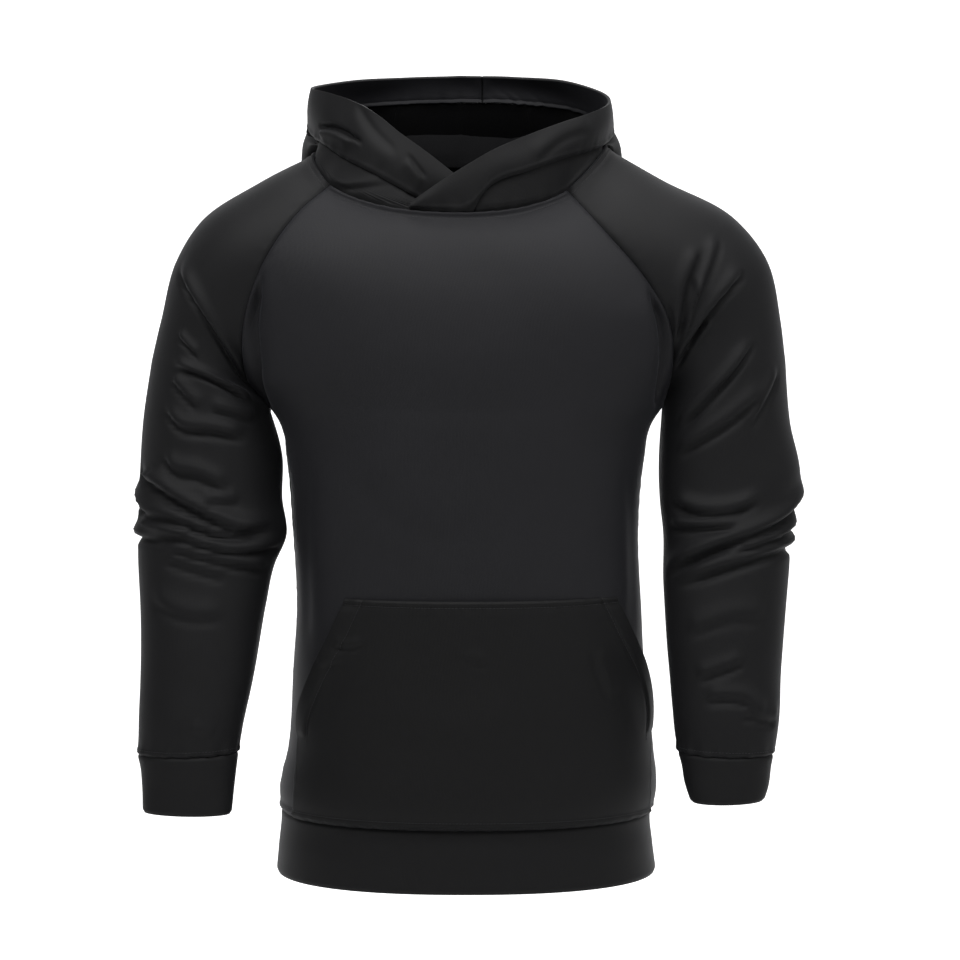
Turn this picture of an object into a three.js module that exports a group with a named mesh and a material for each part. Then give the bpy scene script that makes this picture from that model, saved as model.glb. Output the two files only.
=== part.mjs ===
// Pullover hoodie with raglan sleeves, a crossover hood and a kangaroo pocket, filled out as if worn.
// Millimetres, +Z up, front towards -Y, the wearer's left towards +X.
// Heights are measured from the hem while the pieces are shaped; the finished garment is then moved
// so that its origin lies between the shoulders, where the wearer holds it up.
import * as THREE from 'three';

// Cloth
const CLOTH = 2.0; // brushed fleece
const DOUBLED = 3.0; // hood band, cuffs and hem band are the same fleece folded double
const SEAM_EASE = 0.22; // each cut edge stands back this far from its seam line
const SHARPEST_SEAM = 0.2; // limit on how far a very tight seam pushes its edges apart

// Main sizes
const HELD_AT = { x: 0, y: 0, z: 690 };
const HEM_HEIGHT = 60;
const ROUNDNESS = 2.3; // 2 is an ellipse, more is squarer
const NECK_CENTRE = { x: -4, y: -5 };

// Torso sections, from the hem to the underarm
const TORSO = [
  { z: 0, minX: -185, maxX: 187, front: -125, back: 118 },
  { z: 26, minX: -182.5, maxX: 183.5, front: -124, back: 117 },
  { z: 60, minX: -180, maxX: 181.5, front: -121.5, back: 114.5 },
  { z: 72, minX: -181.5, maxX: 184.5, front: -124.5, back: 116 },
  { z: 125, minX: -171.5, maxX: 182, front: -123, back: 112 },
  { z: 204, minX: -167, maxX: 173.5, front: -119, back: 108 },
  { z: 263, minX: -164, maxX: 171.5, front: -117, back: 106 },
  { z: 330, minX: -167, maxX: 169, front: -117, back: 107 },
  { z: 400, minX: -173, maxX: 173, front: -120, back: 113 },
  { z: 439, minX: -181, maxX: 181, front: -122, back: 118 },
  { z: 454, minX: -191, maxX: 191, front: -122, back: 120 },
];
const TORSO_ROWS = [60, 62, 70, 82, 110, 145, 180, 210, 243, 276, 320, 365, 405, 439, 454];

// Raglan seams, from the underarm to the neck
const RAGLAN = {
  leftFront: [
    { x: 191, y: 0, z: 454 },
    { x: 198, y: -36, z: 484 },
    { x: 198, y: -62, z: 515 },
    { x: 192, y: -76, z: 540 },
    { x: 172, y: -86, z: 573 },
    { x: 131, y: -85, z: 621 },
    { x: 97, y: -62, z: 659 },
  ],
  rightFront: [
    { x: -191, y: 0, z: 454 },
    { x: -209, y: -34, z: 480 },
    { x: -212, y: -58, z: 508 },
    { x: -207, y: -76, z: 543 },
    { x: -184, y: -90, z: 599 },
    { x: -155, y: -81, z: 639 },
    { x: -127, y: -62, z: 664 },
  ],
  leftBack: [
    { x: 191, y: 0, z: 454 },
    { x: 201, y: 38, z: 490 },
    { x: 190, y: 72, z: 545 },
    { x: 160, y: 85, z: 600 },
    { x: 121, y: 76, z: 652 },
    { x: 97, y: 58, z: 686 },
  ],
  rightBack: [
    { x: -191, y: 0, z: 454 },
    { x: -206, y: 38, z: 490 },
    { x: -196, y: 72, z: 545 },
    { x: -166, y: 85, z: 600 },
    { x: -125, y: 76, z: 652 },
    { x: -99, y: 58, z: 686 },
  ],
};
// Middle of the front and of the back, by how far up the raglan seams the row lies
const MID_FRONT = [
  { up: 0, y: -122, z: 454 },
  { up: 0.3, y: -128, z: 508 },
  { up: 0.6, y: -125, z: 571 },
  { up: 0.85, y: -112, z: 616 },
  { up: 1, y: -98, z: 637 },
];
const MID_BACK = [
  { up: 0, y: 120, z: 454 },
  { up: 0.3, y: 126, z: 520 },
  { up: 0.6, y: 117, z: 590 },
  { up: 0.85, y: 94, z: 655 },
  { up: 1, y: 74, z: 690 },
];
const YOKE_ROWS = [0, 0.06, 0.13, 0.21, 0.3, 0.4, 0.51, 0.63, 0.76, 0.88, 1];

// Line along the top of each sleeve, from level with the underarm to the neck
const OVERARM = {
  left: [
    { x: 311, y: 0, z: 497 },
    { x: 305, y: -4, z: 536 },
    { x: 290, y: -8, z: 594 },
    { x: 260, y: -8, z: 632 },
    { x: 189, y: -9, z: 671 },
    { x: 133, y: -10, z: 702 },
  ],
  right: [
    { x: -303, y: 0, z: 497 },
    { x: -292, y: -4, z: 538 },
    { x: -277, y: -8, z: 594 },
    { x: -253, y: -8, z: 632 },
    { x: -195, y: -8, z: 669 },
    { x: -141, y: -8, z: 696 },
  ],
};
const UPPER_ARM_DEPTH = 64; // half the sleeve's depth at the underarm
const NECK_OPENING = 32; // degrees: the sleeve ends at the neck as a shallow arc
const CAP_ROUNDS_FROM = 0.35; // share of the raglan seam where that arc begins to form
const DEPTH_BLEND = 6; // how quickly that depth gives way to the raglan seams' spread
const CAP_TURNS_BY = 0.35; // share of the raglan seam over which the cap's rows turn to face along it

// Sleeve rings below the underarm: inner and outer side, middle and half depth
const SLEEVE = {
  left: [
    { innerZ: 454, innerX: 191, outerX: 311, outerZ: 497, y: 0, depth: 64 },
    { innerZ: 412, innerX: 189, outerX: 315, outerZ: 440, y: -1, depth: 62 },
    { innerZ: 362, innerX: 190, outerX: 324, outerZ: 382, y: -6, depth: 58 },
    { innerZ: 330, innerX: 193, outerX: 316, outerZ: 344, y: -12, depth: 55 },
    { innerZ: 282, innerX: 192, outerX: 313, outerZ: 293, y: -21, depth: 52 },
    { innerZ: 229, innerX: 194, outerX: 308, outerZ: 232, y: -33, depth: 48 },
    { innerZ: 191, innerX: 198, outerX: 304, outerZ: 193, y: -41, depth: 45 },
    { innerZ: 153, innerX: 201, outerX: 301, outerZ: 154, y: -50, depth: 41 },
    { innerZ: 124, innerX: 204, outerX: 296, outerZ: 122, y: -56, depth: 34 },
  ],
  right: [
    { innerZ: 454, innerX: -191, outerX: -303, outerZ: 497, y: 0, depth: 64 },
    { innerZ: 405, innerX: -177, outerX: -313, outerZ: 440, y: -1, depth: 62 },
    { innerZ: 363, innerX: -177, outerX: -316, outerZ: 390, y: -6, depth: 58 },
    { innerZ: 328, innerX: -173, outerX: -317, outerZ: 342, y: -12, depth: 55 },
    { innerZ: 300, innerX: -185, outerX: -316, outerZ: 310, y: -17, depth: 53 },
    { innerZ: 263, innerX: -193, outerX: -313, outerZ: 265, y: -25, depth: 51 },
    { innerZ: 191, innerX: -204, outerX: -313, outerZ: 191, y: -41, depth: 45 },
    { innerZ: 153, innerX: -212, outerX: -314, outerZ: 153, y: -50, depth: 41 },
    { innerZ: 124, innerX: -217, outerX: -314, outerZ: 122, y: -56, depth: 34 },
  ],
};
const SLEEVE_ROWS = [
  454, 440, 424, 408, 394, 382, 371, 361, 351, 341, 331,
  321, 310, 298, 282, 262, 235, 205, 175, 150, 134, 124,
];
const CUFF = {
  left: [
    { innerZ: 124, innerX: 204, outerX: 296, outerZ: 122, y: -56, depth: 34 },
    { innerZ: 114, innerX: 207, outerX: 293.5, outerZ: 112, y: -60, depth: 30 },
    { innerZ: 96, innerX: 210, outerX: 291, outerZ: 94, y: -63, depth: 26 },
    { innerZ: 77, innerX: 216, outerX: 286, outerZ: 79, y: -67, depth: 23 },
  ],
  right: [
    { innerZ: 124, innerX: -217, outerX: -314, outerZ: 122, y: -56, depth: 34 },
    { innerZ: 114, innerX: -218, outerX: -311, outerZ: 112, y: -60, depth: 30 },
    { innerZ: 96, innerX: -220, outerX: -309, outerZ: 94, y: -63, depth: 26 },
    { innerZ: 66, innerX: -223, outerX: -308, outerZ: 68, y: -67, depth: 23 },
  ],
};
const CUFF_STEPS = 4;
const HEM_ROWS = [0, 8, 30, 52, 60];

// Pocket: outline on the front, by height
const POCKET = [
  { z: 61, minX: -163, maxX: 176 },
  { z: 110, minX: -160, maxX: 177 },
  { z: 163, minX: -155, maxX: 176 },
  { z: 205, minX: -140, maxX: 167 },
  { z: 240, minX: -125, maxX: 155 },
  { z: 276, minX: -111, maxX: 142 },
];
const POCKET_TOP = 276;
const POCKET_ROWS = TORSO_ROWS.filter((z) => z > HEM_HEIGHT && z <= POCKET_TOP);
const POCKET_CLEAR = 1.2; // to the front panel at the sewn edges
const POCKET_SLACK = 2.4; // more in the middle of the pocket
const ANGLE_STEP = 0.01; // radians to each side, for the direction of the front's surface

// Hood rim and the lower edge of its band, by the angle round the neck (-90 front, 0 side, 90 back).
// neck is the neck's radius there, and out is measured from it in the direction towards.
const HOOD = {
  left: [
    { around: -117, neck: 101, towards: -117, rimOut: 5, rimZ: 645, edgeOut: 3, edgeZ: 640.5 },
    { around: -100, neck: 95, towards: -100, rimOut: 5.5, rimZ: 666, edgeOut: 3.5, edgeZ: 639 },
    { around: -85, neck: 93.5, towards: -85, rimOut: 5, rimZ: 682, edgeOut: 4.5, edgeZ: 641 },
    { around: -73, neck: 95.5, towards: -73, rimOut: 5, rimZ: 694, edgeOut: 5.5, edgeZ: 662 },
    { around: -55, neck: 101.5, towards: -55, rimOut: 5, rimZ: 708, edgeOut: 8, edgeZ: 675 },
    { around: -36, neck: 111.5, towards: -36, rimOut: 4, rimZ: 721, edgeOut: 8, edgeZ: 687.5 },
    { around: -18, neck: 125, towards: -18, rimOut: 6.5, rimZ: 733, edgeOut: 7, edgeZ: 697 },
    { around: -2, neck: 136.5, towards: -2, rimOut: 7, rimZ: 744, edgeOut: 5, edgeZ: 706 },
    { around: 14, neck: 131, towards: 18, rimOut: 12, rimZ: 757, edgeOut: 22, edgeZ: 720 },
    { around: 33, neck: 118, towards: 52, rimOut: 9, rimZ: 771, edgeOut: 30, edgeZ: 742 },
    { around: 57, neck: 93, towards: 80, rimOut: 18, rimZ: 777, edgeOut: 31, edgeZ: 751 },
    { around: 90, neck: 79, towards: 90, rimOut: 20, rimZ: 778.5, edgeOut: 32, edgeZ: 753 },
  ],
  right: [
    { around: -115, neck: 98, towards: -115, rimOut: -7, rimZ: 643, edgeOut: -6, edgeZ: 640 },
    { around: -99, neck: 92.5, towards: -99, rimOut: -7, rimZ: 659.5, edgeOut: -6.5, edgeZ: 638.5 },
    { around: -84, neck: 92.5, towards: -84, rimOut: -7, rimZ: 676, edgeOut: -6.5, edgeZ: 638.5 },
    { around: -70, neck: 96, towards: -70, rimOut: -4, rimZ: 693.5, edgeOut: -4, edgeZ: 646 },
    { around: -57, neck: 104, towards: -57, rimOut: -4, rimZ: 710, edgeOut: 0, edgeZ: 660 },
    { around: -44, neck: 114, towards: -44, rimOut: -7, rimZ: 728, edgeOut: 3, edgeZ: 675 },
    { around: -27, neck: 130, towards: -27, rimOut: -12, rimZ: 744, edgeOut: -4, edgeZ: 690 },
    { around: -13, neck: 137, towards: -13, rimOut: -4, rimZ: 753, edgeOut: -3, edgeZ: 703 },
    { around: 0, neck: 137, towards: 0, rimOut: 7, rimZ: 758, edgeOut: 5, edgeZ: 711 },
    { around: 14, neck: 132, towards: 18, rimOut: 11, rimZ: 764, edgeOut: 22, edgeZ: 724 },
    { around: 33, neck: 118, towards: 52, rimOut: 9, rimZ: 772, edgeOut: 30, edgeZ: 744 },
    { around: 57, neck: 93, towards: 80, rimOut: 18, rimZ: 776.5, edgeOut: 31, edgeZ: 751 },
    { around: 90, neck: 79, towards: 90, rimOut: 20, rimZ: 778.5, edgeOut: 32, edgeZ: 753 },
  ],
};
// The lowered hood hangs behind as a bag: it rises from the neck seam to a fold, falls down the
// back, turns up at the bottom and climbs to the band.
const HOOD_BAG = {
  fold: [
    { around: -2, out: 0, z: 703 },
    { around: 14, out: 6, z: 708 },
    { around: 33, out: 10, z: 712 },
    { around: 57, out: 9, z: 714 },
    { around: 90, out: 9, z: 715 },
  ],
  inner: [
    { around: -2, out: 0, z: 703.6 },
    { around: 14, out: 14, z: 703 },
    { around: 33, out: 34, z: 670 },
    { around: 57, out: 36, z: 640 },
    { around: 90, out: 38, z: 622 },
  ],
  bottom: [
    { around: -2, out: 0, z: 704.2 },
    { around: 14, out: 24, z: 698 },
    { around: 33, out: 60, z: 618 },
    { around: 57, out: 78, z: 525 },
    { around: 90, out: 80, z: 508 },
  ],
  outer: [
    { around: -2, out: 0, z: 704.8 },
    { around: 14, out: 28, z: 707 },
    { around: 33, out: 70, z: 662 },
    { around: 57, out: 112, z: 603 },
    { around: 90, out: 120, z: 590 },
  ],
};
const BAG_STARTS = -14; // degrees round the neck
const BAG_FULL = 4;
const CENTRE_STRIP_AT = 53; // the hood's centre strip runs between these angles on both sides
const OVER_END = -117; // the upper band's end, on the neck seam
const OVER_PANEL_END = -82; // where the band's lower edge leaves the neck seam
const UNDER_END = -113;
const UNDER_PANEL_END = -76;
const BAND_LAP = 5.6; // the band rolls out over the hood panel in front
const BAND_CLIMB = 0.2; // share of the band's height that the panel climbs behind it
const BAND_DIP = 0.12; // and stays below it where the two part
const BAND_DIP_ENDS = { from: 24, to: 34 };
const BAND_LAP_ENDS = { from: -24, to: 26 };
const TUCK_SHARE = 0.06; // the panel comes up to the band this far short of its lower edge
const BACK_OF_NECK = 90; // degrees round the neck
const BANDS_JOIN_AT = 76; // the seam between the two bands, to one side of the middle of the head

// Steps round each piece, or from the neck seam to the rim on the hood
const STEPS = { torso: 20, back: 18, sleeve: 28, pocket: 18, hood: 12, band: 3 };
const CROSSES_BY = 6; // steps by which each half of the hood runs past the middle of the front
const CORNER_LIMIT = 0.3; // limit on how far a sharp corner is eased back
const MITRE_FROM = 0.45; // cosine of the turn at a seam from which its walls begin to share a direction
const MITRE_FULL = 0.7;

// Folds, drawn as lines in the front view. The cloth rises by ridge on the left of the line from
// start to end and sinks by trough on its right; width is half the ridge's width.
const FOLDS = [
  { face: 'front', x1: -285, z1: 650, x2: -218, z2: 480, width: 9, ridge: 3, trough: 3 },
  { face: 'front', x1: -286, z1: 492, x2: -206, z2: 456, width: 9, ridge: 3, trough: 3 },
  { face: 'front', x1: -322, z1: 388, x2: -240, z2: 340, width: 9, ridge: 5, trough: 5 },
  { face: 'front', x1: -240, z1: 340, x2: -165, z2: 331, width: 9, ridge: 5, trough: 5 },
  { face: 'front', x1: -322, z1: 330, x2: -240, z2: 316, width: 9, ridge: 5, trough: 4 },
  { face: 'front', x1: -240, z1: 316, x2: -170, z2: 306, width: 9, ridge: 4, trough: 4 },
  { face: 'front', x1: 214, z1: 505, x2: 252, z2: 628, width: 9, ridge: 3, trough: 3 },
  { face: 'front', x1: 214, z1: 495, x2: 282, z2: 592, width: 9, ridge: 4, trough: 3 },
  { face: 'front', x1: 208, z1: 470, x2: 300, z2: 500, width: 10, ridge: 3, trough: 3 },
  { face: 'front', x1: 196, z1: 292, x2: 245, z2: 326, width: 9, ridge: 5, trough: 4 },
  { face: 'front', x1: 245, z1: 326, x2: 322, z2: 352, width: 9, ridge: 5, trough: 4 },
  { face: 'front', x1: 200, z1: 274, x2: 262, z2: 308, width: 9, ridge: 3, trough: 4 },
  { face: 'back', x1: -318, z1: 352, x2: -180, z2: 338, width: 10, ridge: 4, trough: 4 },
  { face: 'back', x1: -316, z1: 318, x2: -190, z2: 300, width: 10, ridge: 3, trough: 3 },
  { face: 'back', x1: -286, z1: 560, x2: -214, z2: 470, width: 11, ridge: 3, trough: 3 },
  { face: 'back', x1: 196, z1: 322, x2: 320, z2: 346, width: 10, ridge: 4, trough: 4 },
  { face: 'back', x1: 200, z1: 290, x2: 316, z2: 318, width: 10, ridge: 3, trough: 3 },
  { face: 'back', x1: 214, z1: 470, x2: 284, z2: 566, width: 11, ridge: 3, trough: 3 },
];
const FOLD_STARTS = 0.25; // share of its length over which a fold grows
const FOLD_OFFSET = 0.8; // of its width, from the line to the middle of the ridge or trough
const FOLD_SIDE = 0.35; // how far a fold reaches round the side, as the normal's y

const COLOURS = { cloth: 0x2b2b2f, rib: 0x28282c };
const ROUGHNESS = 0.92;

const clamp = (value, low = 0, high = 1) => Math.min(Math.max(value, low), high);
const mix = (a, b, share) => a + (b - a) * share;
const radians = (degrees) => (degrees * Math.PI) / 180;

function ease(low, high, value) {
  const share = clamp((value - low) / (high - low));
  return share * share * (3 - 2 * share);
}

// A smooth curve through values given at rising keys
function smooth(keys, values) {
  const last = keys.length - 1;
  const rise = (i) => (values[i + 1] - values[i]) / (keys[i + 1] - keys[i]);
  const slopes = keys.map((key, i) => {
    if (i === 0) return rise(0);
    if (i === last) return rise(last - 1);
    const before = keys[i] - keys[i - 1];
    const after = keys[i + 1] - keys[i];
    return (rise(i - 1) * after + rise(i) * before) / (before + after);
  });
  return (key) => {
    let i = 0;
    while (i < last - 1 && key > keys[i + 1]) i += 1;
    const span = keys[i + 1] - keys[i];
    const t = clamp((key - keys[i]) / span);
    const t2 = t * t;
    const t3 = t2 * t;
    return (
      values[i] * (2 * t3 - 3 * t2 + 1) +
      slopes[i] * span * (t3 - 2 * t2 + t) +
      values[i + 1] * (3 * t2 - 2 * t3) +
      slopes[i + 1] * span * (t3 - t2)
    );
  };
}

// A table read at any value of its key column
function table(rows, key) {
  const sorted = [...rows].sort((a, b) => a[key] - b[key]);
  const keys = sorted.map((row) => row[key]);
  const columns = Object.keys(rows[0]).map((name) => {
    const values = sorted.map((row) => row[name]);
    return [name, smooth(keys, values)];
  });
  return (value) => Object.fromEntries(columns.map(([name, curve]) => [name, curve(value)]));
}

// A curve through points, read by the share of its length
function route(rows) {
  const points = rows.map((row) => new THREE.Vector3(row.x, row.y, row.z));
  const lengths = [0];
  for (let i = 1; i < points.length; i += 1) {
    lengths.push(lengths[i - 1] + points[i].distanceTo(points[i - 1]));
  }
  const shares = lengths.map((length) => length / lengths[lengths.length - 1]);
  const along = ['x', 'y', 'z'].map((axis) => smooth(shares, points.map((point) => point[axis])));
  return (share) => new THREE.Vector3(along[0](share), along[1](share), along[2](share));
}

// Rounded section: sideways and outward reach at an angle from the side
const sideways = (angle) => Math.sign(Math.cos(angle)) * Math.abs(Math.cos(angle)) ** (2 / ROUNDNESS);
const outward = (angle) => Math.abs(Math.sin(angle)) ** (2 / ROUNDNESS);

const torsoAt = table(TORSO, 'z');
const raglan = Object.fromEntries(Object.entries(RAGLAN).map(([name, rows]) => [name, route(rows)]));
const overarm = { left: route(OVERARM.left), right: route(OVERARM.right) };
const middle = { front: table(MID_FRONT, 'up'), back: table(MID_BACK, 'up') };

// One row of the front or back below the underarm; share runs from the wearer's left to the right
function torsoPoint(face, z, share) {
  const size = torsoAt(z);
  const angle = Math.PI * share;
  const half = (size.maxX - size.minX) / 2;
  const centre = (size.maxX + size.minX) / 2;
  return new THREE.Vector3(centre + half * sideways(angle), size[face] * outward(angle), z);
}

// One row above the underarm, between the two raglan seams
function yokePoint(face, up, share) {
  const left = raglan[face === 'front' ? 'leftFront' : 'leftBack'](up);
  const right = raglan[face === 'front' ? 'rightFront' : 'rightBack'](up);
  const mid = middle[face](up);
  const reach = clamp(Math.abs((left.y + right.y) / 2 / mid.y), 0, 0.95);
  const opening = Math.asin(reach ** (ROUNDNESS / 2));
  const angle = mix(opening, Math.PI - opening, share);
  const across = (1 - sideways(angle) / sideways(opening)) / 2;
  const bulge = (outward(angle) - outward(opening)) / (1 - outward(opening));
  const centre = left.clone().add(right).multiplyScalar(0.5);
  const crown = new THREE.Vector3(centre.x, mid.y, mid.z).sub(centre);
  return left.clone().lerp(right, across).addScaledVector(crown, bulge);
}

function panelRows(face, steps) {
  const shares = Array.from({ length: steps + 1 }, (_, i) => i / steps);
  const lower = TORSO_ROWS.slice(0, -1).map((z) => shares.map((share) => torsoPoint(face, z, share)));
  const upper = YOKE_ROWS.map((up) => shares.map((share) => yokePoint(face, up, share)));
  return [...lower, ...upper];
}

// Sleeve row over the shoulder, from the front raglan seam over the arm to the back seam
function shoulderPoint(side, up, share) {
  const front = raglan[`${side}Front`](up);
  const back = raglan[`${side}Back`](up);
  const top = overarm[side](up);
  const spread = front.distanceTo(back) / 2;
  let depth = (spread ** DEPTH_BLEND + UPPER_ARM_DEPTH ** DEPTH_BLEND) ** (1 / DEPTH_BLEND);
  const round = ease(CAP_ROUNDS_FROM, 1, up);
  const opening = mix(-Math.acos(clamp(spread / depth)), radians(NECK_OPENING), round);
  if (round > 0) depth = spread / Math.cos(opening);
  const angle = mix(opening, Math.PI - opening, share);
  const centre = front.clone().add(back).multiplyScalar(0.5);
  const backwards = new THREE.Vector3(0, 1, 0);
  const across = spread > 1 ? back.clone().sub(front).normalize() : backwards.clone();
  const rise = (Math.sin(angle) - Math.sin(opening)) / (1 - Math.sin(opening));
  const reach = Math.cos(angle) * depth;
  const turned = (reach - Math.cos(opening) * depth * (1 - 2 * share)) * (1 - ease(0, CAP_TURNS_BY, up));
  return centre
    .clone()
    .addScaledVector(top.sub(centre), rise)
    .addScaledVector(across, turned - reach)
    .addScaledVector(backwards, -turned);
}

// Closed ring of a sleeve or cuff, from the underarm seam over the front and round the back
function ringPoint(size, share) {
  const angle = mix(-Math.PI / 2, 1.5 * Math.PI, share);
  const inner = new THREE.Vector3(size.innerX, size.y, size.innerZ);
  const outer = new THREE.Vector3(size.outerX, size.y, size.outerZ);
  const centre = inner.clone().add(outer).multiplyScalar(0.5);
  const point = centre.clone().addScaledVector(outer.sub(centre), Math.sin(angle));
  point.y -= Math.cos(angle) * size.depth;
  return point;
}

function sleeveRows(side) {
  const shares = Array.from({ length: STEPS.sleeve + 1 }, (_, i) => i / STEPS.sleeve);
  const ringAt = table(SLEEVE[side], 'innerZ');
  const rings = SLEEVE_ROWS.slice(1).map((z) => shares.map((share) => ringPoint(ringAt(z), share)));
  const cap = YOKE_ROWS.map((up) => shares.map((share) => shoulderPoint(side, up, share)));
  return [...rings.reverse(), ...cap];
}

function cuffRows(side) {
  const shares = Array.from({ length: STEPS.sleeve + 1 }, (_, i) => i / STEPS.sleeve);
  const ringAt = table(CUFF[side], 'innerZ');
  const [top, bottom] = [CUFF[side][0].innerZ, CUFF[side][CUFF[side].length - 1].innerZ];
  const heights = Array.from({ length: CUFF_STEPS + 1 }, (_, i) => mix(bottom, top, i / CUFF_STEPS));
  return heights.map((z) => shares.map((share) => ringPoint(ringAt(z), share)));
}

function hemRows() {
  const front = Array.from({ length: STEPS.torso + 1 }, (_, i) => i / STEPS.torso);
  const back = Array.from({ length: STEPS.back + 1 }, (_, i) => 1 - i / STEPS.back);
  return HEM_ROWS.map((z) => [
    ...front.map((share) => torsoPoint('front', z, share)),
    ...back.slice(1).map((share) => torsoPoint('back', z, share)),
  ]);
}

// The pocket lies on the front: the front's own surface, moved out
function pocketRows() {
  const outline = table(POCKET, 'z');
  return POCKET_ROWS.map((z, row) => {
    const size = torsoAt(z);
    const half = (size.maxX - size.minX) / 2;
    const centre = (size.maxX + size.minX) / 2;
    const edges = outline(z);
    const angleAt = (x) => {
      const level = clamp((x - centre) / half, -1, 1);
      return Math.acos(Math.sign(level) * Math.abs(level) ** (ROUNDNESS / 2));
    };
    const [first, last] = [angleAt(edges.maxX), angleAt(edges.minX)];
    return Array.from({ length: STEPS.pocket + 1 }, (_, i) => {
      const angle = mix(first, last, i / STEPS.pocket);
      const across = Math.sin((Math.PI * i) / STEPS.pocket);
      const upward = Math.sin((Math.PI * row) / (POCKET_ROWS.length - 1));
      const ahead = torsoPoint('front', z, (angle + ANGLE_STEP) / Math.PI);
      const behind = torsoPoint('front', z, (angle - ANGLE_STEP) / Math.PI);
      const normal = new THREE.Vector3(behind.y - ahead.y, ahead.x - behind.x, 0).normalize();
      const out = POCKET_CLEAR + CLOTH + POCKET_SLACK * across * upward;
      return torsoPoint('front', z, angle / Math.PI).addScaledVector(normal, out);
    });
  });
}

// Angle of a point round the neck
function degreesRound(point) {
  return (Math.atan2(point.y - NECK_CENTRE.y, point.x - NECK_CENTRE.x) * 180) / Math.PI;
}

// Neck seam, in the order left front, left sleeve, back, right sleeve, right front
function neckSeam(rows) {
  const top = (name) => rows[name][rows[name].length - 1];
  const every = (points, step) => points.filter((_, i) => i % step === 0);
  const front = top('front');
  const half = Math.round((front.length - 1) / 2);
  const frontLeft = front.slice(0, half + CROSSES_BY).reverse();
  const frontRight = front.slice(half - CROSSES_BY).reverse();
  return [
    ...frontLeft,
    ...every(top('sleeve_left'), 2).slice(1),
    ...every(top('back'), 2).slice(1),
    ...every(top('sleeve_right'), 2).reverse().slice(1),
    ...frontRight.slice(1),
  ].map((point) => ({ point, around: degreesRound(point) }));
}

const hoodAt = { left: table(HOOD.left, 'around'), right: table(HOOD.right, 'around') };
const bagAt = Object.entries(HOOD_BAG).map(([, rows]) => table(rows, 'around'));

// The hood's profile at one point of the neck seam: seam, fold, bag, lower edge of the band and rim
function hoodProfile(point, around, side) {
  const mirrored = side === 'right';
  const key = mirrored ? 180 - around : around;
  const hood = hoodAt[side](key);
  const direction = radians(mirrored ? 180 - hood.towards : hood.towards);
  const place = (out, z) => new THREE.Vector3(
    NECK_CENTRE.x + hood.neck * Math.cos(radians(around)) + out * Math.cos(direction),
    NECK_CENTRE.y + hood.neck * Math.sin(radians(around)) + out * Math.sin(direction),
    z,
  );
  const edge = place(hood.edgeOut, hood.edgeZ);
  const rim = place(hood.rimOut, hood.rimZ);
  const lap = 1 - ease(BAND_LAP_ENDS.from, BAND_LAP_ENDS.to, key);
  const inset = BAND_LAP * ease(0, 0.5, lap);
  const dip = BAND_DIP * (1 - ease(BAND_DIP_ENDS.from, BAND_DIP_ENDS.to, key));
  const climb = (BAND_CLIMB + dip) * ease(0.5, 1, lap) - dip;
  const tuck = place(hood.edgeOut - inset, hood.edgeZ);
  const under = place(
    mix(hood.edgeOut, hood.rimOut, climb) - inset,
    mix(hood.edgeZ, hood.rimZ, climb),
  );
  const hang = ease(BAG_STARTS, BAG_FULL, key);
  const knots = bagAt.map((knotAt, i) => {
    const knot = knotAt(Math.max(key, BAG_STARTS));
    const plain = point.clone().lerp(tuck, (i + 1) / (bagAt.length + 1));
    return plain.lerp(place(knot.out, knot.z), hang);
  });
  tuck.lerp(knots[knots.length - 1], TUCK_SHARE);
  return { panel: [point, ...knots, tuck, under], edge, rim };
}

function hoodPanel(samples) {
  const shares = Array.from({ length: STEPS.hood + 1 }, (_, i) => i / STEPS.hood);
  return samples.map(({ point, around, side }) => {
    const profile = route(hoodProfile(point, around, side).panel);
    return shares.map((share) => profile(share));
  });
}

function hoodBand(samples) {
  const shares = Array.from({ length: STEPS.band + 1 }, (_, i) => i / STEPS.band);
  return samples.map(({ point, around, side }) => {
    const { edge, rim } = hoodProfile(point, around, side);
    return shares.map((share) => edge.clone().lerp(rim, share));
  });
}

// Height of the folds at a point of the cloth
function foldHeight(point, normal) {
  let height = 0;
  for (const fold of FOLDS) {
    const facing = fold.face === 'front' ? -normal.y : normal.y;
    const seen = ease(-FOLD_SIDE, FOLD_SIDE, facing);
    const length = Math.hypot(fold.x2 - fold.x1, fold.z2 - fold.z1);
    const [dx, dz] = [(fold.x2 - fold.x1) / length, (fold.z2 - fold.z1) / length];
    const along = ((point.x - fold.x1) * dx + (point.z - fold.z1) * dz) / length;
    const beside = (point.z - fold.z1) * dx - (point.x - fold.x1) * dz;
    const grows = ease(-FOLD_STARTS / 2, FOLD_STARTS, along);
    const fades = ease(-FOLD_STARTS / 2, FOLD_STARTS, 1 - along);
    const bump = (offset) => Math.exp(-(((beside - offset) / fold.width) ** 2));
    const rises = fold.ridge * bump(fold.width * FOLD_OFFSET);
    const sinks = fold.trough * bump(-fold.width * FOLD_OFFSET);
    height += seen * grows * fades * (rises - sinks);
  }
  return height;
}

// A sheet of quads over a grid of points; rows that close join their last point to the first
function sheetOf(rows, closes, flip) {
  const ids = [];
  const points = [];
  rows.forEach((row, r) => {
    const own = closes(r) ? row.slice(0, -1) : row;
    const start = points.length;
    own.forEach((point) => points.push(point.clone()));
    ids.push(row.map((point, c) => (c < own.length ? start + c : start)));
  });
  const faces = [];
  for (let r = 0; r < rows.length - 1; r += 1) {
    for (let c = 0; c < rows[r].length - 1; c += 1) {
      const quad = [ids[r][c], ids[r][c + 1], ids[r + 1][c + 1], ids[r + 1][c]];
      if (flip) quad.reverse();
      faces.push([quad[0], quad[1], quad[2]], [quad[0], quad[2], quad[3]]);
    }
  }
  return { points, faces: faces.filter(([a, b, c]) => a !== b && b !== c && c !== a) };
}

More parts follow.
